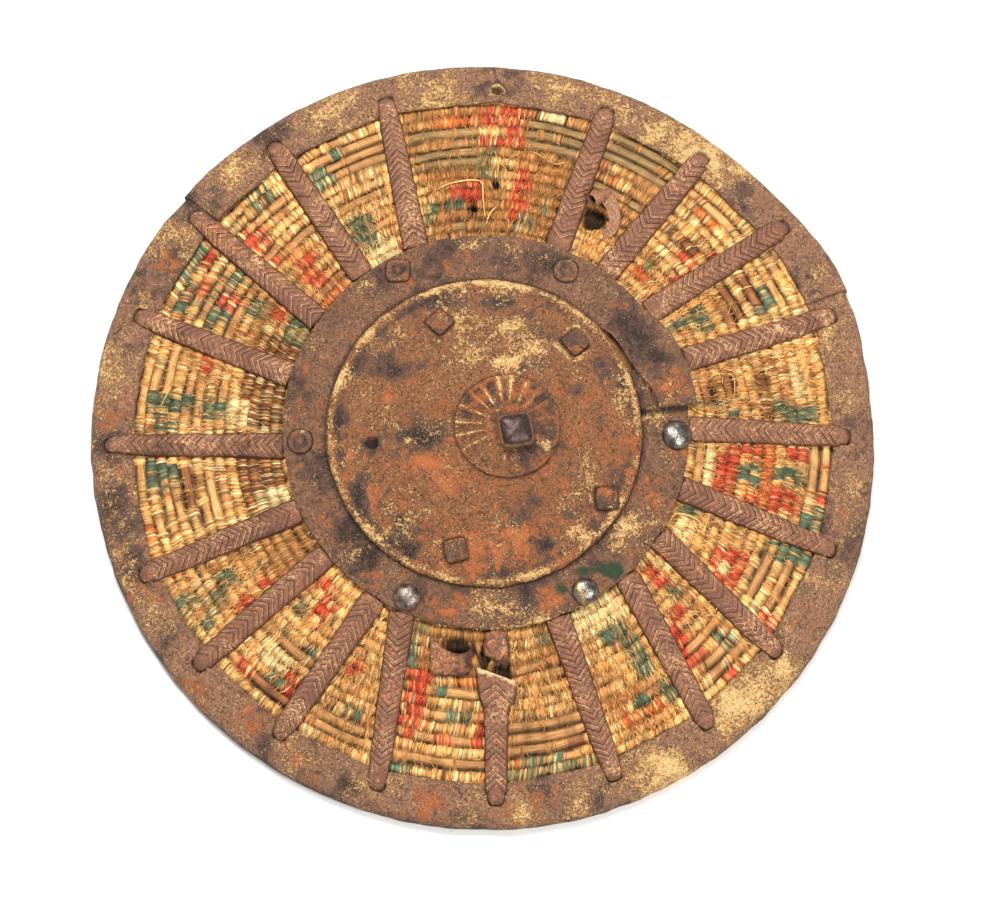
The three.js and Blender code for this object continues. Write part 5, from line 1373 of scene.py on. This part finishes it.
loose_cords()
for index in range(4):
    frayed_thread("frayed_thread_%d" % (index + 1), 90 * index, 90 * (index + 1), 700 + index)


# Boss ring: a flat band of sheet iron bent round, open at the right, where its upper end is
# sprung outward and lies over the lower one. Rivets hold it down through the cane.

RING_WIDTH = 31.0
RING_UNDER = 2.6
RING_SHEET = 1.6
RING_STEP = 0.75
RING_ROUNDING = 0.12
PLATE_CENTRE = (1.2, -1.2)
PLATE_RADIUS = 97.0

# stains on the ring: angle, radius, spread and strength
RING_PALE = [
    (72, 112, 9, 0.5), (81, 118, 8, 0.6), (94, 120, 10, 0.3), (112, 119, 8, 0.5), (128, 118, 8, 0.5),
    (287, 121, 8, 0.9), (294, 120, 8, 0.9), (270, 106, 10, 0.8), (280, 110, 10, 0.6),
    (319, 107, 9, 0.9), (327, 106, 8, 0.9), (335, 116, 10, 0.5), (225, 116, 10, 0.6),
    (240, 108, 10, 0.5), (206, 112, 9, 0.4), (196, 108, 9, 0.4), (150, 112, 8, 0.4),
    (352, 112, 10, 0.5), (5, 103, 8, 0.8), (16, 102, 8, 0.8), (345, 122, 8, 0.5),
]
RING_ORANGE = [
    (12, 116, 10, 0.8), (16, 124, 8, 0.8), (100, 112, 10, 0.5), (160, 112, 10, 0.5),
    (172, 108, 10, 0.6), (210, 106, 10, 0.6), (255, 112, 12, 0.8), (290, 112, 12, 0.7),
    (340, 110, 12, 0.8), (355, 120, 10, 0.7), (232, 118, 8, 0.6), (318, 118, 8, 0.4),
    (135, 110, 10, 0.4), (190, 116, 8, 0.4),
]
RING_DARK = [
    (24, 116, 12, 1.0), (33, 112, 12, 1.0), (42, 112, 12, 0.8), (68, 116, 11, 0.9),
    (76, 110, 10, 0.7), (86, 112, 12, 0.8), (98, 120, 8, 0.4), (106, 112, 9, 0.5),
    (122, 112, 10, 0.7), (142, 118, 10, 0.7), (165, 118, 10, 0.6), (192, 100, 10, 0.7),
    (200, 104, 8, 0.7), (218, 104, 10, 0.9), (228, 104, 10, 0.7), (248, 104, 10, 0.8),
    (262, 102, 9, 0.8), (285, 100, 8, 0.8), (310, 104, 10, 0.7), (330, 118, 8, 0.5),
]
RING_GREEN = [
    (313, 118, 6.5, 1.0), (296, 109, 5.0, 0.9), (305, 107, 5.0, 0.8), (310, 112, 4.5, 0.7),
    (247, 98, 4.0, 0.6), (228, 99, 4.0, 0.5),
]

RING_IRON = rusted_iron("ring_iron", (128, 92, 70), rusty=-0.06, dusty=-0.1)


def boss_ring():
    """An open band round the ring's own middle, laid at one height over the cane, and lifted and
    narrowed towards its sprung end."""
    angle = np.arange(RING_END_ANGLE, RING_END_ANGLE + 360 + RING_LAP + 0.01, RING_STEP)[:, None]
    share = ring_end_share(angle)
    ragged = noise(angle * 2.2, 0 * angle, 6.0, 83, 3) * 0.5
    outer = RING_RADIUS + RING_END_SPREAD * share + ragged
    inner = RING_RADIUS - RING_WIDTH + ring_end_inset(angle)
    across = np.concatenate([[0, 0.02, 0.06], np.linspace(0.12, 0.9, 11), [0.95, 0.985, 1.0]])
    radius = inner + (outer - inner) * across[None, :]
    x, y = polar(radius, np.radians(angle), RING_CENTRE)
    rounding = (np.abs(across - 0.5) * 2 - 1 + RING_ROUNDING)[None, :] / RING_ROUNDING
    rounding = np.clip(rounding, 0, 1) + 0 * x
    top = cane_crest(np.hypot(x, y)) + RING_UNDER + LAP_STEP * share + RING_SHEET
    hammer = noise(x, y, 11.0, 89, 3) * 0.22
    loop_z = both_faces(top + hammer - 0.5 * rounding ** 2, top - RING_SHEET)
    rows, count = loop_z.shape
    flat = np.stack([both_faces(x), both_faces(y), loop_z], axis=2).reshape(-1, 3)
    faces = [grid_faces(rows, count, wrap_columns=True), cap_faces(rows, count)]
    px, py = flat[:, 0], flat[:, 1]
    # Painted shade on the ring under the plate's edge, and on the lower end beside and under the sprung
    # end.
    from_plate = np.hypot(px - PLATE_CENTRE[0], py - PLATE_CENTRE[1]) - PLATE_RADIUS
    under_plate = smooth_step(-from_plate, -2.5, -0.2)
    beside_end = RING_RADIUS - RING_WIDTH + ring_end_inset(angle - 360) - 0.9
    below_end = 0.85 * bump_at(radius, beside_end, 1.2) * (angle > RING_END_ANGLE + 360)
    below_end = np.maximum(below_end, 0.95 * bump_at(angle, RING_END_ANGLE + 359.1, 1.2))
    under_end = both_faces(below_end).ravel()
    attributes = {
        "pale": blobs(px, py, RING_PALE) - 0.2 + 0.25 * both_faces(rounding).ravel(),
        "orange": blobs(px, py, RING_ORANGE) - 0.1,
        "dark": blobs(px, py, RING_DARK) - 0.1,
        "green": blobs(px, py, RING_GREEN) + noise(px, py, 3.0, 97, 2) * 0.15,
        "soot": np.clip(under_plate * 0.6 + under_end, 0, 1),
    }
    mesh_piece("boss_ring", flat, faces, RING_IRON, attributes, node="boss_ring")


boss_ring()


# Boss plate: a domed disc beaten from one sheet, its edge worn pale. One nail is lost, and its
# hole is left; the face has dents, a scratch and patches of old crust.

PLATE_RISE = 16.5
PLATE_SHEET = 1.8
PLATE_BALL = (PLATE_RADIUS ** 2 + PLATE_RISE ** 2) / (2 * PLATE_RISE)
PLATE_STEPS = 400
PLATE_BEAD, PLATE_BEAD_INSET = 0.75, 3.2
PLATE_GROOVE, PLATE_GROOVE_INSET = 0.35, 7.6
LOST_NAIL = (68.9, 187.3)
SCRATCH_PLACE = (-49.862, -55.543)
SCRATCH_LEAN = 0.25
PLATE_SEEN_HEIGHT = 56.0
ROSETTE_CENTRE = (PLATE_CENTRE[0] + 14.0, PLATE_CENTRE[1])
ROSETTE_RADIUS = 32.0
PLATE_EDGE_UNDER = cane_crest(PLATE_RADIUS) + RING_UNDER + RING_SHEET + 2 * BAR_CLEARANCE
BALL_CENTRE = PLATE_EDGE_UNDER + PLATE_SHEET + PLATE_RISE - PLATE_BALL


def plate_spots(x, y, spots):
    """Soft spots given by their middle and half sizes in the photograph's pixels, and strength."""
    total = np.zeros(np.shape(x))
    for column, row, wide, high, strength in spots:
        spot_x, spot_y = seen_at(column, row, PLATE_SEEN_HEIGHT)
        away = ((x - spot_x) / (wide * PIXEL)) ** 2 + ((y - spot_y) / (high * PIXEL)) ** 2
        total = total + strength * np.exp(-away * 1.2)
    return total


# stains on the plate: middle and half sizes in pixels of the photograph, and strength
PLATE_PALE = [
    (526, 338, 30, 16, 0.8), (510, 326, 20, 8, 0.5), (621, 405, 14, 42, 0.9), (581, 528, 14, 14, 0.8),
    (540, 570, 22, 12, 0.8), (450, 575, 12, 8, 0.7), (404, 486, 14, 10, 0.7), (345, 381, 9, 14, 0.3),
    (409, 440, 6, 4, 0.9), (430, 540, 16, 14, 0.4), (470, 520, 26, 18, -0.3), (380, 420, 20, 16, 0.3),
    (470, 350, 20, 16, 0.35), (560, 420, 16, 20, 0.35), (500, 505, 26, 20, -0.4),
    (350, 470, 12, 16, 0.35), (590, 470, 14, 20, 0.45), (575, 345, 14, 12, 0.6),
    (598, 375, 14, 10, 0.5), (520, 285, 26, 8, 0.5), (450, 290, 22, 8, 0.4), (400, 330, 16, 12, 0.3),
    (545, 370, 18, 10, 0.5), (500, 362, 18, 6, 0.9),
]
PLATE_ORANGE = [
    (389, 396, 14, 12, 0.9), (344, 450, 14, 8, 0.9), (427, 461, 14, 9, 0.9), (470, 548, 42, 24, 0.8),
    (430, 410, 20, 16, 0.4), (450, 480, 24, 18, 0.5), (520, 530, 24, 16, 0.6), (505, 380, 14, 10, 1.0),
    (528, 384, 10, 8, 0.8), (500, 470, 20, 12, 0.5), (560, 480, 20, 16, 0.5), (610, 430, 14, 20, 0.5),
    (420, 350, 20, 16, 0.4), (460, 320, 24, 14, 0.5), (560, 560, 16, 10, 0.6), (370, 500, 12, 12, 0.5),
    (413, 435, 28, 22, -0.6), (578, 470, 20, 25, -0.6),
]
PLATE_DARK = [
    (396, 372, 14, 11, 1.1), (502, 299, 16, 9, 1.0), (340, 412, 11, 13, 1.0), (360, 484, 11, 22, 1.1),
    (407, 538, 19, 26, 1.0), (546, 540, 10, 9, 1.0), (598, 363, 13, 12, 0.9), (576, 388, 10, 13, 0.8),
    (432, 439, 20, 10, 0.8), (371, 442, 10, 9, 0.7), (401, 515, 6, 18, 0.9), (440, 300, 16, 8, 0.6),
    (330, 440, 8, 24, 0.5), (480, 400, 10, 26, 0.7), (484, 440, 12, 20, 0.6), (556, 440, 9, 22, 0.5),
    (520, 468, 26, 9, 0.5), (566, 505, 16, 10, 0.5), (380, 350, 14, 12, 0.5), (608, 480, 12, 16, 0.5),
    (500, 575, 18, 8, 0.5), (620, 390, 7, 20, 0.4), (413, 435, 28, 22, 0.4), (578, 470, 20, 25, 0.4),
    (540, 364, 16, 10, 0.4),
]
PLATE_IRON = rusted_iron("plate_iron", (140, 92, 60), dusty=-0.05)
# the four nails: angle and distance in from the plate's edge, turn of the head, pale ring round it
PLATE_NAILS = {"plate_nail_1": (112, 24.8, 45, 0.35), "plate_nail_2": (44.7, 19.2, 40, 0.7),
               "plate_nail_3": (330.2, 11.5, 5, 0.3), "plate_nail_4": (257.1, 19.9, 12, 0.25)}


def nail_places():
    """Each nail's place on the plate, the turn of its head, and how pale the ring round it is."""
    return [(*polar(PLATE_RADIUS - inset, np.radians(angle), PLATE_CENTRE), turn, pale)
            for angle, inset, turn, pale in PLATE_NAILS.values()]


def ball_height(x, y):
    """Height of the plate's outer face over a place."""
    across = (x - PLATE_CENTRE[0]) ** 2 + (y - PLATE_CENTRE[1]) ** 2
    return BALL_CENTRE + np.sqrt(np.maximum(PLATE_BALL ** 2 - across, 0))


def boss_plate():
    """A spherical cap of sheet: its face by rings from the middle to the edge, its back by fewer
    rings. The edge is turned up in a low bead, and the face waves as beaten sheet does."""
    turn = full_turn(PLATE_STEPS)[None, :]
    share = np.concatenate([np.linspace(0.02, 0.93, 72), np.linspace(0.94, 1.0, 14)])[:, None]
    ragged = noise(np.degrees(turn) * 1.5, 0 * turn, 9.0, 101, 3) * 0.55
    radius = share * (PLATE_RADIUS - 0.6 + ragged * share ** 6)
    x, y = polar(radius, turn, PLATE_CENTRE)
    bead = PLATE_BEAD * bump_at(radius, PLATE_RADIUS - PLATE_BEAD_INSET, 2.0)
    groove = -PLATE_GROOVE * bump_at(radius, PLATE_RADIUS - PLATE_GROOVE_INSET, 1.8)
    hammer = noise(x, y, 19.0, 103, 3) * 0.42 + noise(x, y, 4.5, 107, 2) * 0.14
    fall = -1.1 * smooth_step(radius, PLATE_RADIUS - 1.6, PLATE_RADIUS)
    hole_x, hole_y = polar(LOST_NAIL[0], np.radians(LOST_NAIL[1]), PLATE_CENTRE)
    from_hole = np.hypot(x - hole_x, y - hole_y)
    pit = 1 - smooth_step(from_hole, 2.5, 4.0)
    lip = bump_at(from_hole, 5.0, 1.5) * 0.3
    scratch_x, scratch_y = x - SCRATCH_PLACE[0], y - SCRATCH_PLACE[1]
    along = scratch_y + scratch_x * SCRATCH_LEAN
    beside = scratch_x - scratch_y * SCRATCH_LEAN
    dent = -0.9 * np.exp(-(along / 8.0) ** 2 - (beside / 2.2) ** 2)
    z = ball_height(x, y) + bead + groove + hammer + fall + lip + dent - pit * 9.0
    face = np.stack([x, y, z], axis=2)
    back_share = np.array([1.0, 0.86, 0.7, 0.5, 0.3, 0.1])[:, None]
    back_x, back_y = polar(back_share * (PLATE_RADIUS - 0.9), turn, PLATE_CENTRE)
    back = np.stack([back_x, back_y, ball_height(back_x, back_y) - PLATE_SHEET], axis=2)
    rows = len(share) + len(back_share)
    crown = BALL_CENTRE + PLATE_BALL
    points = np.concatenate([face, back]).reshape(-1, 3)
    points = np.concatenate([points, [[*PLATE_CENTRE, crown], [*PLATE_CENTRE, crown - PLATE_SHEET]]])
    faces = [part[:, ::-1] for part in ball_faces(rows, PLATE_STEPS)]
    px, py = points[:, 0], points[:, 1]
    place = np.hypot(px - PLATE_CENTRE[0], py - PLATE_CENTRE[1])
    pit_here = 1 - smooth_step(np.hypot(px - hole_x, py - hole_y), 3.0, 4.4)
    rosette_away = np.hypot(px - ROSETTE_CENTRE[0], py - ROSETTE_CENTRE[1])
    towards_top = smooth_step(py - 0.25 * px, 4, 44)
    dark_and_painted_shade, washer = 0 * px, 0 * px
    for nail_x, nail_y, nail_turn, pale in nail_places():
        along, across = tip_frame(px - nail_x, py - nail_y, nail_turn, 0)
        away = (np.abs(along) ** 5 + np.abs(across) ** 5) ** 0.2
        dark_and_painted_shade = dark_and_painted_shade + 0.85 * bump_at(away, 6.9, 1.0)
        washer = washer + pale * bump_at(away, 9.6, 1.8)
    # Painted shade in a ring round each nail's head, in the lost nail's hole, in the groove inside the bead
    # and round the rosette's edge. The plate is paler and less orange towards the top.
    attributes = {
        "pale": (plate_spots(px, py, PLATE_PALE) - 0.1 + washer + 0.16 * towards_top
                 + 0.7 * bump_at(place, PLATE_RADIUS - 3.0, 2.4)),
        "orange": plate_spots(px, py, PLATE_ORANGE) + 0.12 - 0.55 * towards_top,
        "dark": (plate_spots(px, py, PLATE_DARK) - 0.1
                 + 0.45 * bump_at(place, PLATE_RADIUS - PLATE_GROOVE_INSET, 2.2)),
        "soot": np.clip(pit_here + dark_and_painted_shade
                        + 0.5 * bump_at(rosette_away, ROSETTE_RADIUS + 0.6, 0.9), 0, 1),
    }
    mesh_piece("boss_plate", points, faces, PLATE_IRON, attributes,
               node="boss_plate")


boss_plate()


# Rosette: a thin disc beaten to the plate's curve, right of its middle, chisel-cut with about
# twenty rays. Its edge is chipped out at the lower right.

ROSETTE_RAYS = 20
ROSETTE_STEPS = 320
ROSETTE_FACE = 1.9
ROSETTE_UNDER = 0.3
RAY_DEPTH = 0.75
# crust, red rust and dull patches: angle and distance from the middle, spread and strength
ROSETTE_CRUST = [(135, 20, 11, 0.9), (100, 25, 10, 0.8), (170, 24, 9, 0.5), (332, 28, 4, 2.0),
                 (332, 22, 3, 1.2), (255, 20, 9, 0.5)]
ROSETTE_RED = [(95, 24, 11, 1.0), (60, 26, 9, 0.8), (130, 26, 9, 0.8)]
ROSETTE_DULL = [(0, 24, 14, 0.5), (300, 24, 14, 0.5), (30, 26, 12, 0.4)]


def rosette():
    """A disc over the plate's ball; along each ray a wedge is sunk that widens outward, and thin
    ridges stand between the wedges. The strength of the cuts fades towards the right."""
    turn = full_turn(ROSETTE_STEPS)[None, :]
    share = np.concatenate([np.linspace(0.1, 0.95, 30), [0.97, 0.985, 1.0, 1.0]])[:, None]
    ray = turn * ROSETTE_RAYS / (2 * np.pi) + 0.25 + noise(np.degrees(turn), share, 14.0, 109, 2) * 0.16
    phase = np.abs((ray % 1.0) - 0.5) * 2
    strength = 0.66 + 0.34 * np.cos(turn - np.radians(140))
    wedge = (1 - smooth_step(phase, 0.42, 0.72)) * smooth_step(share, 0.38, 0.5)
    wedge = wedge * (1 - smooth_step(share, 0.9, 0.97)) * np.clip(strength, 0.15, 1)
    ragged = 0.35 * noise(np.degrees(turn), 0 * turn, 12.0, 113, 2) * share ** 8
    radius = share * ROSETTE_RADIUS + ragged
    chip = bump_at(turn_between(np.degrees(turn), 332.0), 0, 4.0) * 2.4
    radius = np.minimum(radius, ROSETTE_RADIUS - chip)
    x, y = polar(radius, turn, ROSETTE_CENTRE)
    z = ball_height(x, y) + ROSETTE_FACE - RAY_DEPTH * wedge + noise(x, y, 5.0, 127, 2) * 0.12
    z = z - 0.4 * smooth_step(share, 0.93, 1.0)
    z[-1] = ball_height(x[-1], y[-1]) + ROSETTE_UNDER
    points = np.stack([x, y, z], axis=2).reshape(-1, 3)
    middle_height = ball_height(*ROSETTE_CENTRE)
    poles = [[*ROSETTE_CENTRE, middle_height + over] for over in (ROSETTE_FACE, ROSETTE_UNDER)]
    points = np.concatenate([points, poles])
    faces = [part[:, ::-1] for part in ball_faces(len(share), ROSETTE_STEPS)]
    ridge = smooth_step(phase, 0.72, 0.95) * smooth_step(share, 0.4, 0.55) * strength
    place = points[:, 0] - ROSETTE_CENTRE[0], points[:, 1] - ROSETTE_CENTRE[1]

    def with_poles(values):
        """Values of the grid, and nothing for the two poles."""
        return np.append(values.ravel(), [0.0, 0.0])

    # Painted shade in the sunk wedges.
    attributes = {
        "pale": with_poles(ridge * 0.9 - 0.2) + blobs(*place, ROSETTE_CRUST) * 0.6,
        "orange": blobs(*place, ROSETTE_RED),
        "dark": with_poles(wedge * 0.55 - 0.05) + blobs(*place, ROSETTE_DULL) * 0.7,
        "soot": with_poles(wedge * 0.3),
    }
    mesh_piece("rosette", points, faces, PLATE_IRON, attributes, node="rosette")


rosette()


# Finial and nails: square heads forged on square shanks that pass through the plate. The finial
# is larger and domed, and stands on the rosette; the four nails hold the plate to the cane.

def normal_frame(place, height, normal, turn):
    """The corner of a frame on a surface, and its three directions, turned about the normal."""
    up = np.asarray(normal, float)
    up = up / np.linalg.norm(up)
    flat = np.cross([0, 1.0, 0], up)
    flat = flat / np.linalg.norm(flat)
    side = np.cross(up, flat)
    angle = np.radians(turn)
    first = flat * np.cos(angle) + side * np.sin(angle)
    second = np.cross(up, first)
    return np.array([place[0], place[1], height]), np.array([first, second, up])


HEAD_STEPS = 72


def stacked_head(name, frame_here, levels, power, finish, seed, marks):
    """A head from rings of rounded squares, each given as height and half side; the last ring
    closes on a point. A power of 2 gives round rings, and a higher one squarer ones."""
    origin, axes = frame_here
    turn = full_turn(HEAD_STEPS)[None, :]
    height, half = np.array(levels).T[..., None]
    reach = (np.abs(np.cos(turn)) ** power + np.abs(np.sin(turn)) ** power) ** (-1 / power)
    a, b = polar(half * reach, turn)
    rough = noise(a + seed, b, 3.0, seed, 2) * 0.14
    c = height + rough * (height > 0.3)
    local = np.stack([a, b, c], axis=2).reshape(-1, 3)
    local = np.concatenate([local, [[0, 0, levels[0][0]], [0, 0, levels[-1][0] + 0.1]]])
    share = np.clip(local[:, 2] / height.max(), 0, 1)
    attributes = {key: rule(share, local) for key, rule in marks.items()}
    mesh_piece(name, origin + local @ axes, ball_faces(len(levels), HEAD_STEPS), finish,
               attributes, node=name)


def on_plate(x, y, lift, turn):
    """A frame on the plate, square to its ball and lifted off it."""
    normal = (x - PLATE_CENTRE[0], y - PLATE_CENTRE[1], ball_height(x, y) - BALL_CENTRE)
    scale = lift / np.linalg.norm(normal)
    place = (x + normal[0] * scale, y + normal[1] * scale)
    return normal_frame(place, ball_height(x, y) + normal[2] * scale, normal, turn)


def finial_iron():
    """Dark iron, rubbed bright on top, with brown rust down its sides."""
    material, place, attribute, feed, bump = new_material("finial_iron")
    grain = place.noise(500.0, 4.0, 0.65)
    cloud = place.noise(170.0, 4.0, 0.6)
    top = attribute("top")
    sides = grain.between(0.35, 0.65).mix(colour_of(84, 56, 42), colour_of(134, 94, 66))
    crown = grain.between(0.3, 0.7).mix(colour_of(46, 32, 30), colour_of(80, 59, 54))
    bright = (top + cloud * 0.6).between(0.65, 1.0)
    feed("Base Color", bright.mix(sides, crown))
    feed("Metallic", bright * 0.6)
    feed("Roughness", 0.66 - bright * 0.36 + grain * 0.16)
    bump(grain * 0.6 + cloud, 0.4, 0.0006)
    return material


finial_levels = [(-1.2, 9.0), (0.0, 9.0), (0.3, 9.6), (1.4, 10.3), (2.8, 10.5), (4.2, 10.35),
                 (5.6, 9.8), (6.7, 8.9), (7.6, 7.6), (8.3, 5.9), (8.8, 3.8), (9.0, 1.6)]
stacked_head("finial", on_plate(19.8, -5.3, 2.7, 10), finial_levels, 5.5, finial_iron(),
             131, {"top": lambda share, local: smooth_step(share, 0.45, 0.95)})

# The nails' heads: painted shade low down where they meet the plate, and a little paler on top.
nail_marks = {
    "pale": lambda share, local: 0.25 * smooth_step(share, 0.4, 0.9) - 0.1,
    "orange": lambda share, local: 0.2 + 0 * share,
    "dark": lambda share, local: 0.2 + 0.5 * smooth_step(-share, -0.5, 0.0),
    "soot": lambda share, local: 0.75 * smooth_step(-share, -0.4, 0.0),
}
NAIL_IRON = rusted_iron("nail_iron", (120, 86, 68), dusty=-0.1)
nail_levels = [(-1.5, 6.2), (0.1, 6.4), (0.5, 6.75), (1.1, 6.7), (1.6, 6.2), (2.0, 5.4),
               (2.25, 4.2), (2.4, 2.4)]
for nail_index, (nail_x, nail_y, nail_turn, pale) in enumerate(nail_places()):
    nail_name = "plate_nail_%d" % (nail_index + 1)
    stacked_head(nail_name, on_plate(nail_x, nail_y, 0.6, nail_turn), nail_levels, 7.0, NAIL_IRON,
                 137 + nail_index, nail_marks)


# Ring rivets: three with high heads of polished steel, and three of iron worn flat. They pass
# through the ring and the cane.

def polished_steel():
    """Dark steel, polished by use, with fine scratches, brown specks and one golden stain."""
    material, place, attribute, feed, bump = new_material("polished_steel")
    cloud = place.noise(210.0, 4.0, 0.6)
    speck = place.noise(900.0, 4.0, 0.7)
    base = cloud.between(0.35, 0.7).mix(colour_of(92, 86, 82), colour_of(150, 146, 138))
    rust = (speck * 0.7 + cloud * 0.4 + attribute("rust") * 0.6).between(0.7, 0.92)
    base = rust.mix(base, colour_of(128, 88, 62))
    base = attribute("stain").mix(base, colour_of(206, 164, 96))
    feed("Base Color", base)
    feed("Metallic", 0.92 - rust * 0.7)
    feed("Roughness", 0.14 + rust * 0.4 + speck * 0.2)
    bump(speck + cloud, 0.4, 0.0005)
    return material


POLISHED_STEEL = polished_steel()


def on_dome(angle, inset, lift):
    """A frame on the ring, square to the cane's dome."""
    x, y = polar(RING_RADIUS - inset, np.radians(angle), RING_CENTRE)
    normal = (x, y, CANE_DOME_RADIUS)
    return normal_frame((x, y), cane_crest(np.hypot(x, y)) + lift, normal, 0)


rivet_lift = RING_UNDER + RING_SHEET + 2 * BAR_CLEARANCE
quarter = np.radians(np.linspace(0, 84, 13))
domed_levels = [(-0.8, 7.9), (-0.1, 8.2)] + [
    (4.6 * float(np.sin(part)), 8.3 * float(np.cos(part)) ** 0.9) for part in quarter]
DOMED_RIVETS = {"domed_rivet_1": (358.4, 7.4, 0.0, 0.0, 1.12),
                "domed_rivet_2": (245.4, 8.8, 0.35, 0.0, 1.0),
                "domed_rivet_3": (300.9, 6.5, 0.2, 1.0, 1.0)}
for rivet_index, (rivet_name, (rivet_angle, inset, rust, stain, grown)) in enumerate(
        DOMED_RIVETS.items()):
    rivet_levels = [(level * grown, half_side * grown) for level, half_side in domed_levels]
    stacked_head(
        rivet_name, on_dome(rivet_angle, inset, rivet_lift), rivet_levels, 2.0, POLISHED_STEEL,
        149 + rivet_index,
        {"rust": lambda share, local, rust=rust: rust + 0.5 * smooth_step(-share, -0.2, 0.0),
         "stain": lambda share, local, stain=stain: (
             stain * bump_at(local[:, 0] + 0.35 * local[:, 1], -3.6, 1.3) * 0.85)})

# each worn rivet: place, squareness of its head, and how its levels run
WORN_RIVETS = {
    "worn_rivet_1": (118.1, 9.8, 3.6, [(-0.5, 8.0), (0.0, 7.3), (0.9, 6.9), (1.15, 5.8), (0.6, 4.4),
                                       (0.35, 2.6), (0.5, 1.0)]),
    "worn_rivet_2": (64, 12, 2.2, [(-0.5, 8.1), (0.0, 7.4), (0.5, 6.6), (0.3, 5.2), (0.5, 4.2),
                                   (0.8, 3.0), (0.9, 1.4)]),
    "worn_rivet_3": (183.6, 10.5, 2.2, [(-0.5, 8.1), (0.0, 7.3), (0.5, 6.8), (0.6, 5.5), (0.55, 3.4),
                                        (0.6, 1.5)]),
}
# Painted shade at the foot of each head.
worn_marks = {
    "pale": lambda share, local: 0.5 * bump_at(np.hypot(local[:, 0], local[:, 1]), 6.0, 1.5) - 0.1,
    "orange": lambda share, local: 0.1 + 0 * share,
    "dark": lambda share, local: 0.7 * bump_at(np.hypot(local[:, 0], local[:, 1]), 3.0, 2.0),
    "soot": lambda share, local: 0.6 * smooth_step(-share, -0.3, 0.0),
}
for rivet_index, (rivet_name, (rivet_angle, inset, power, levels)) in enumerate(WORN_RIVETS.items()):
    stacked_head(rivet_name, on_dome(rivet_angle, inset, rivet_lift), levels, power, RING_IRON,
                 157 + rivet_index, worn_marks)


# Peeled cane: a split skin of bare cane, rooted in its row, that rises beside the dark hole and
# rolls up at its end.

def bare_cane():
    """Bare cane: tan with fine grain, with painted shade inside the curl and under the strip."""
    material, place, attribute, feed, bump = new_material("bare_cane")
    grain = place.noise(700.0, 4.0, 0.7)
    cloud = place.noise(160.0, 3.0, 0.6)
    base = grain.between(0.35, 0.65).mix(colour_of(96, 64, 44), colour_of(172, 126, 88))
    base = cloud.between(0.5, 0.62).mix(base, colour_of(140, 90, 62))
    # painted shade
    base = attribute("soot").mix(base, colour_of(70, 42, 30))
    feed("Base Color", base)
    feed("Roughness", 0.55 + grain * 0.25)
    bump(grain, 0.3, 0.0005)
    return material


BARE_CANE = bare_cane()


# the strip: widths and turns from its root to its curl, its thickness and how much it cups
PEEL_WIDTHS = (6.2, 9.6)
PEEL_TURNS = (0.5, 0.0)
PEEL_THICKNESS = 0.9
PEEL_CUP = 0.8
PEEL_STEPS = 60
# the places along it, as pixels of the photograph and lift
PEEL_LINE = [(604, 236, 0.4), (613, 228, 1.6), (615, 216, 3.2), (612, 204, 4.4), (607, 196, 4.9)]


def peeled_strip():
    """A strip along a line, its section a flat oval that is cupped, and turned about the line."""
    middle = catmull([crest_point(*place) for place in PEEL_LINE], PEEL_STEPS)
    tangent = np.gradient(middle, axis=0)
    tangent /= np.linalg.norm(tangent, axis=1)[:, None]
    up = np.array([0, 0, 1.0])
    flat = np.cross(up, tangent)
    flat /= np.linalg.norm(flat, axis=1)[:, None]
    angle = np.linspace(*PEEL_TURNS, PEEL_STEPS)[:, None]
    wide = flat * np.cos(angle) + up * np.sin(angle)
    thin = np.cross(tangent, wide)
    across = np.linspace(-1, 1, 9)
    section = np.concatenate([np.column_stack([across, 0.5 * (1 - across ** 6)]),
                              np.column_stack([across[::-1], -0.5 * (1 - across ** 6)])])[1:]
    half = np.linspace(*PEEL_WIDTHS, PEEL_STEPS)[:, None, None] / 2
    bend = PEEL_CUP * (section[:, 0] ** 2 - 0.4)
    points = (middle[:, None, :] + wide[:, None, :] * section[None, :, 0, None] * half
              + thin[:, None, :] * (section[:, 1] * PEEL_THICKNESS + bend)[None, :, None])
    count = len(section)
    faces = [part[:, ::-1] for part in (grid_faces(PEEL_STEPS, count, wrap_columns=True),
                                        cap_faces(PEEL_STEPS, count))]
    # the strip's underside painted darker as shade
    soot = np.tile(0.3 * (section[:, 1] < 0), PEEL_STEPS)
    mesh_piece("peeled_cane", points, faces, BARE_CANE, {"soot": soot},
               node="peeled_cane")


peeled_strip()


def rolled_end(name, start, end, radius_start, radius_end, wall):
    """The strip's rolled end: a short hollow roll between two places, thicker at its open end."""
    start, end = np.asarray(start), np.asarray(end)
    axis = (end - start) / np.linalg.norm(end - start)
    side = np.cross(axis, [0, 0, 1.0])
    side /= np.linalg.norm(side)
    top = np.cross(side, axis)
    steps = 40
    turn = full_turn(steps)
    share = np.concatenate([np.linspace(0, 1, 9), np.linspace(1, 0, 9)])
    inner = np.concatenate([np.zeros(9), np.ones(9)])
    radius = radius_start + (radius_end - radius_start) * share - wall * inner
    radius = radius[:, None] * (1 + 0.05 * np.cos(2 * turn))
    middle = start + (end - start) * share[:, None]
    points = (middle[:, None, :] + radius[..., None] * (side * np.cos(turn)[:, None]
                                                        + top * np.sin(turn)[:, None]))
    faces = grid_faces(len(share), steps, wrap_rows=True, wrap_columns=True)[:, ::-1]
    # the inside of the roll painted dark as shade
    mesh_piece(name, points, faces, BARE_CANE, {"soot": np.repeat(inner * 0.8, steps)},
               node="peeled_cane")


rolled_end("peeled_roll", crest_point(592, 200, 8.6), crest_point(609, 193, 2.2), 3.9, 3.3, 0.8)
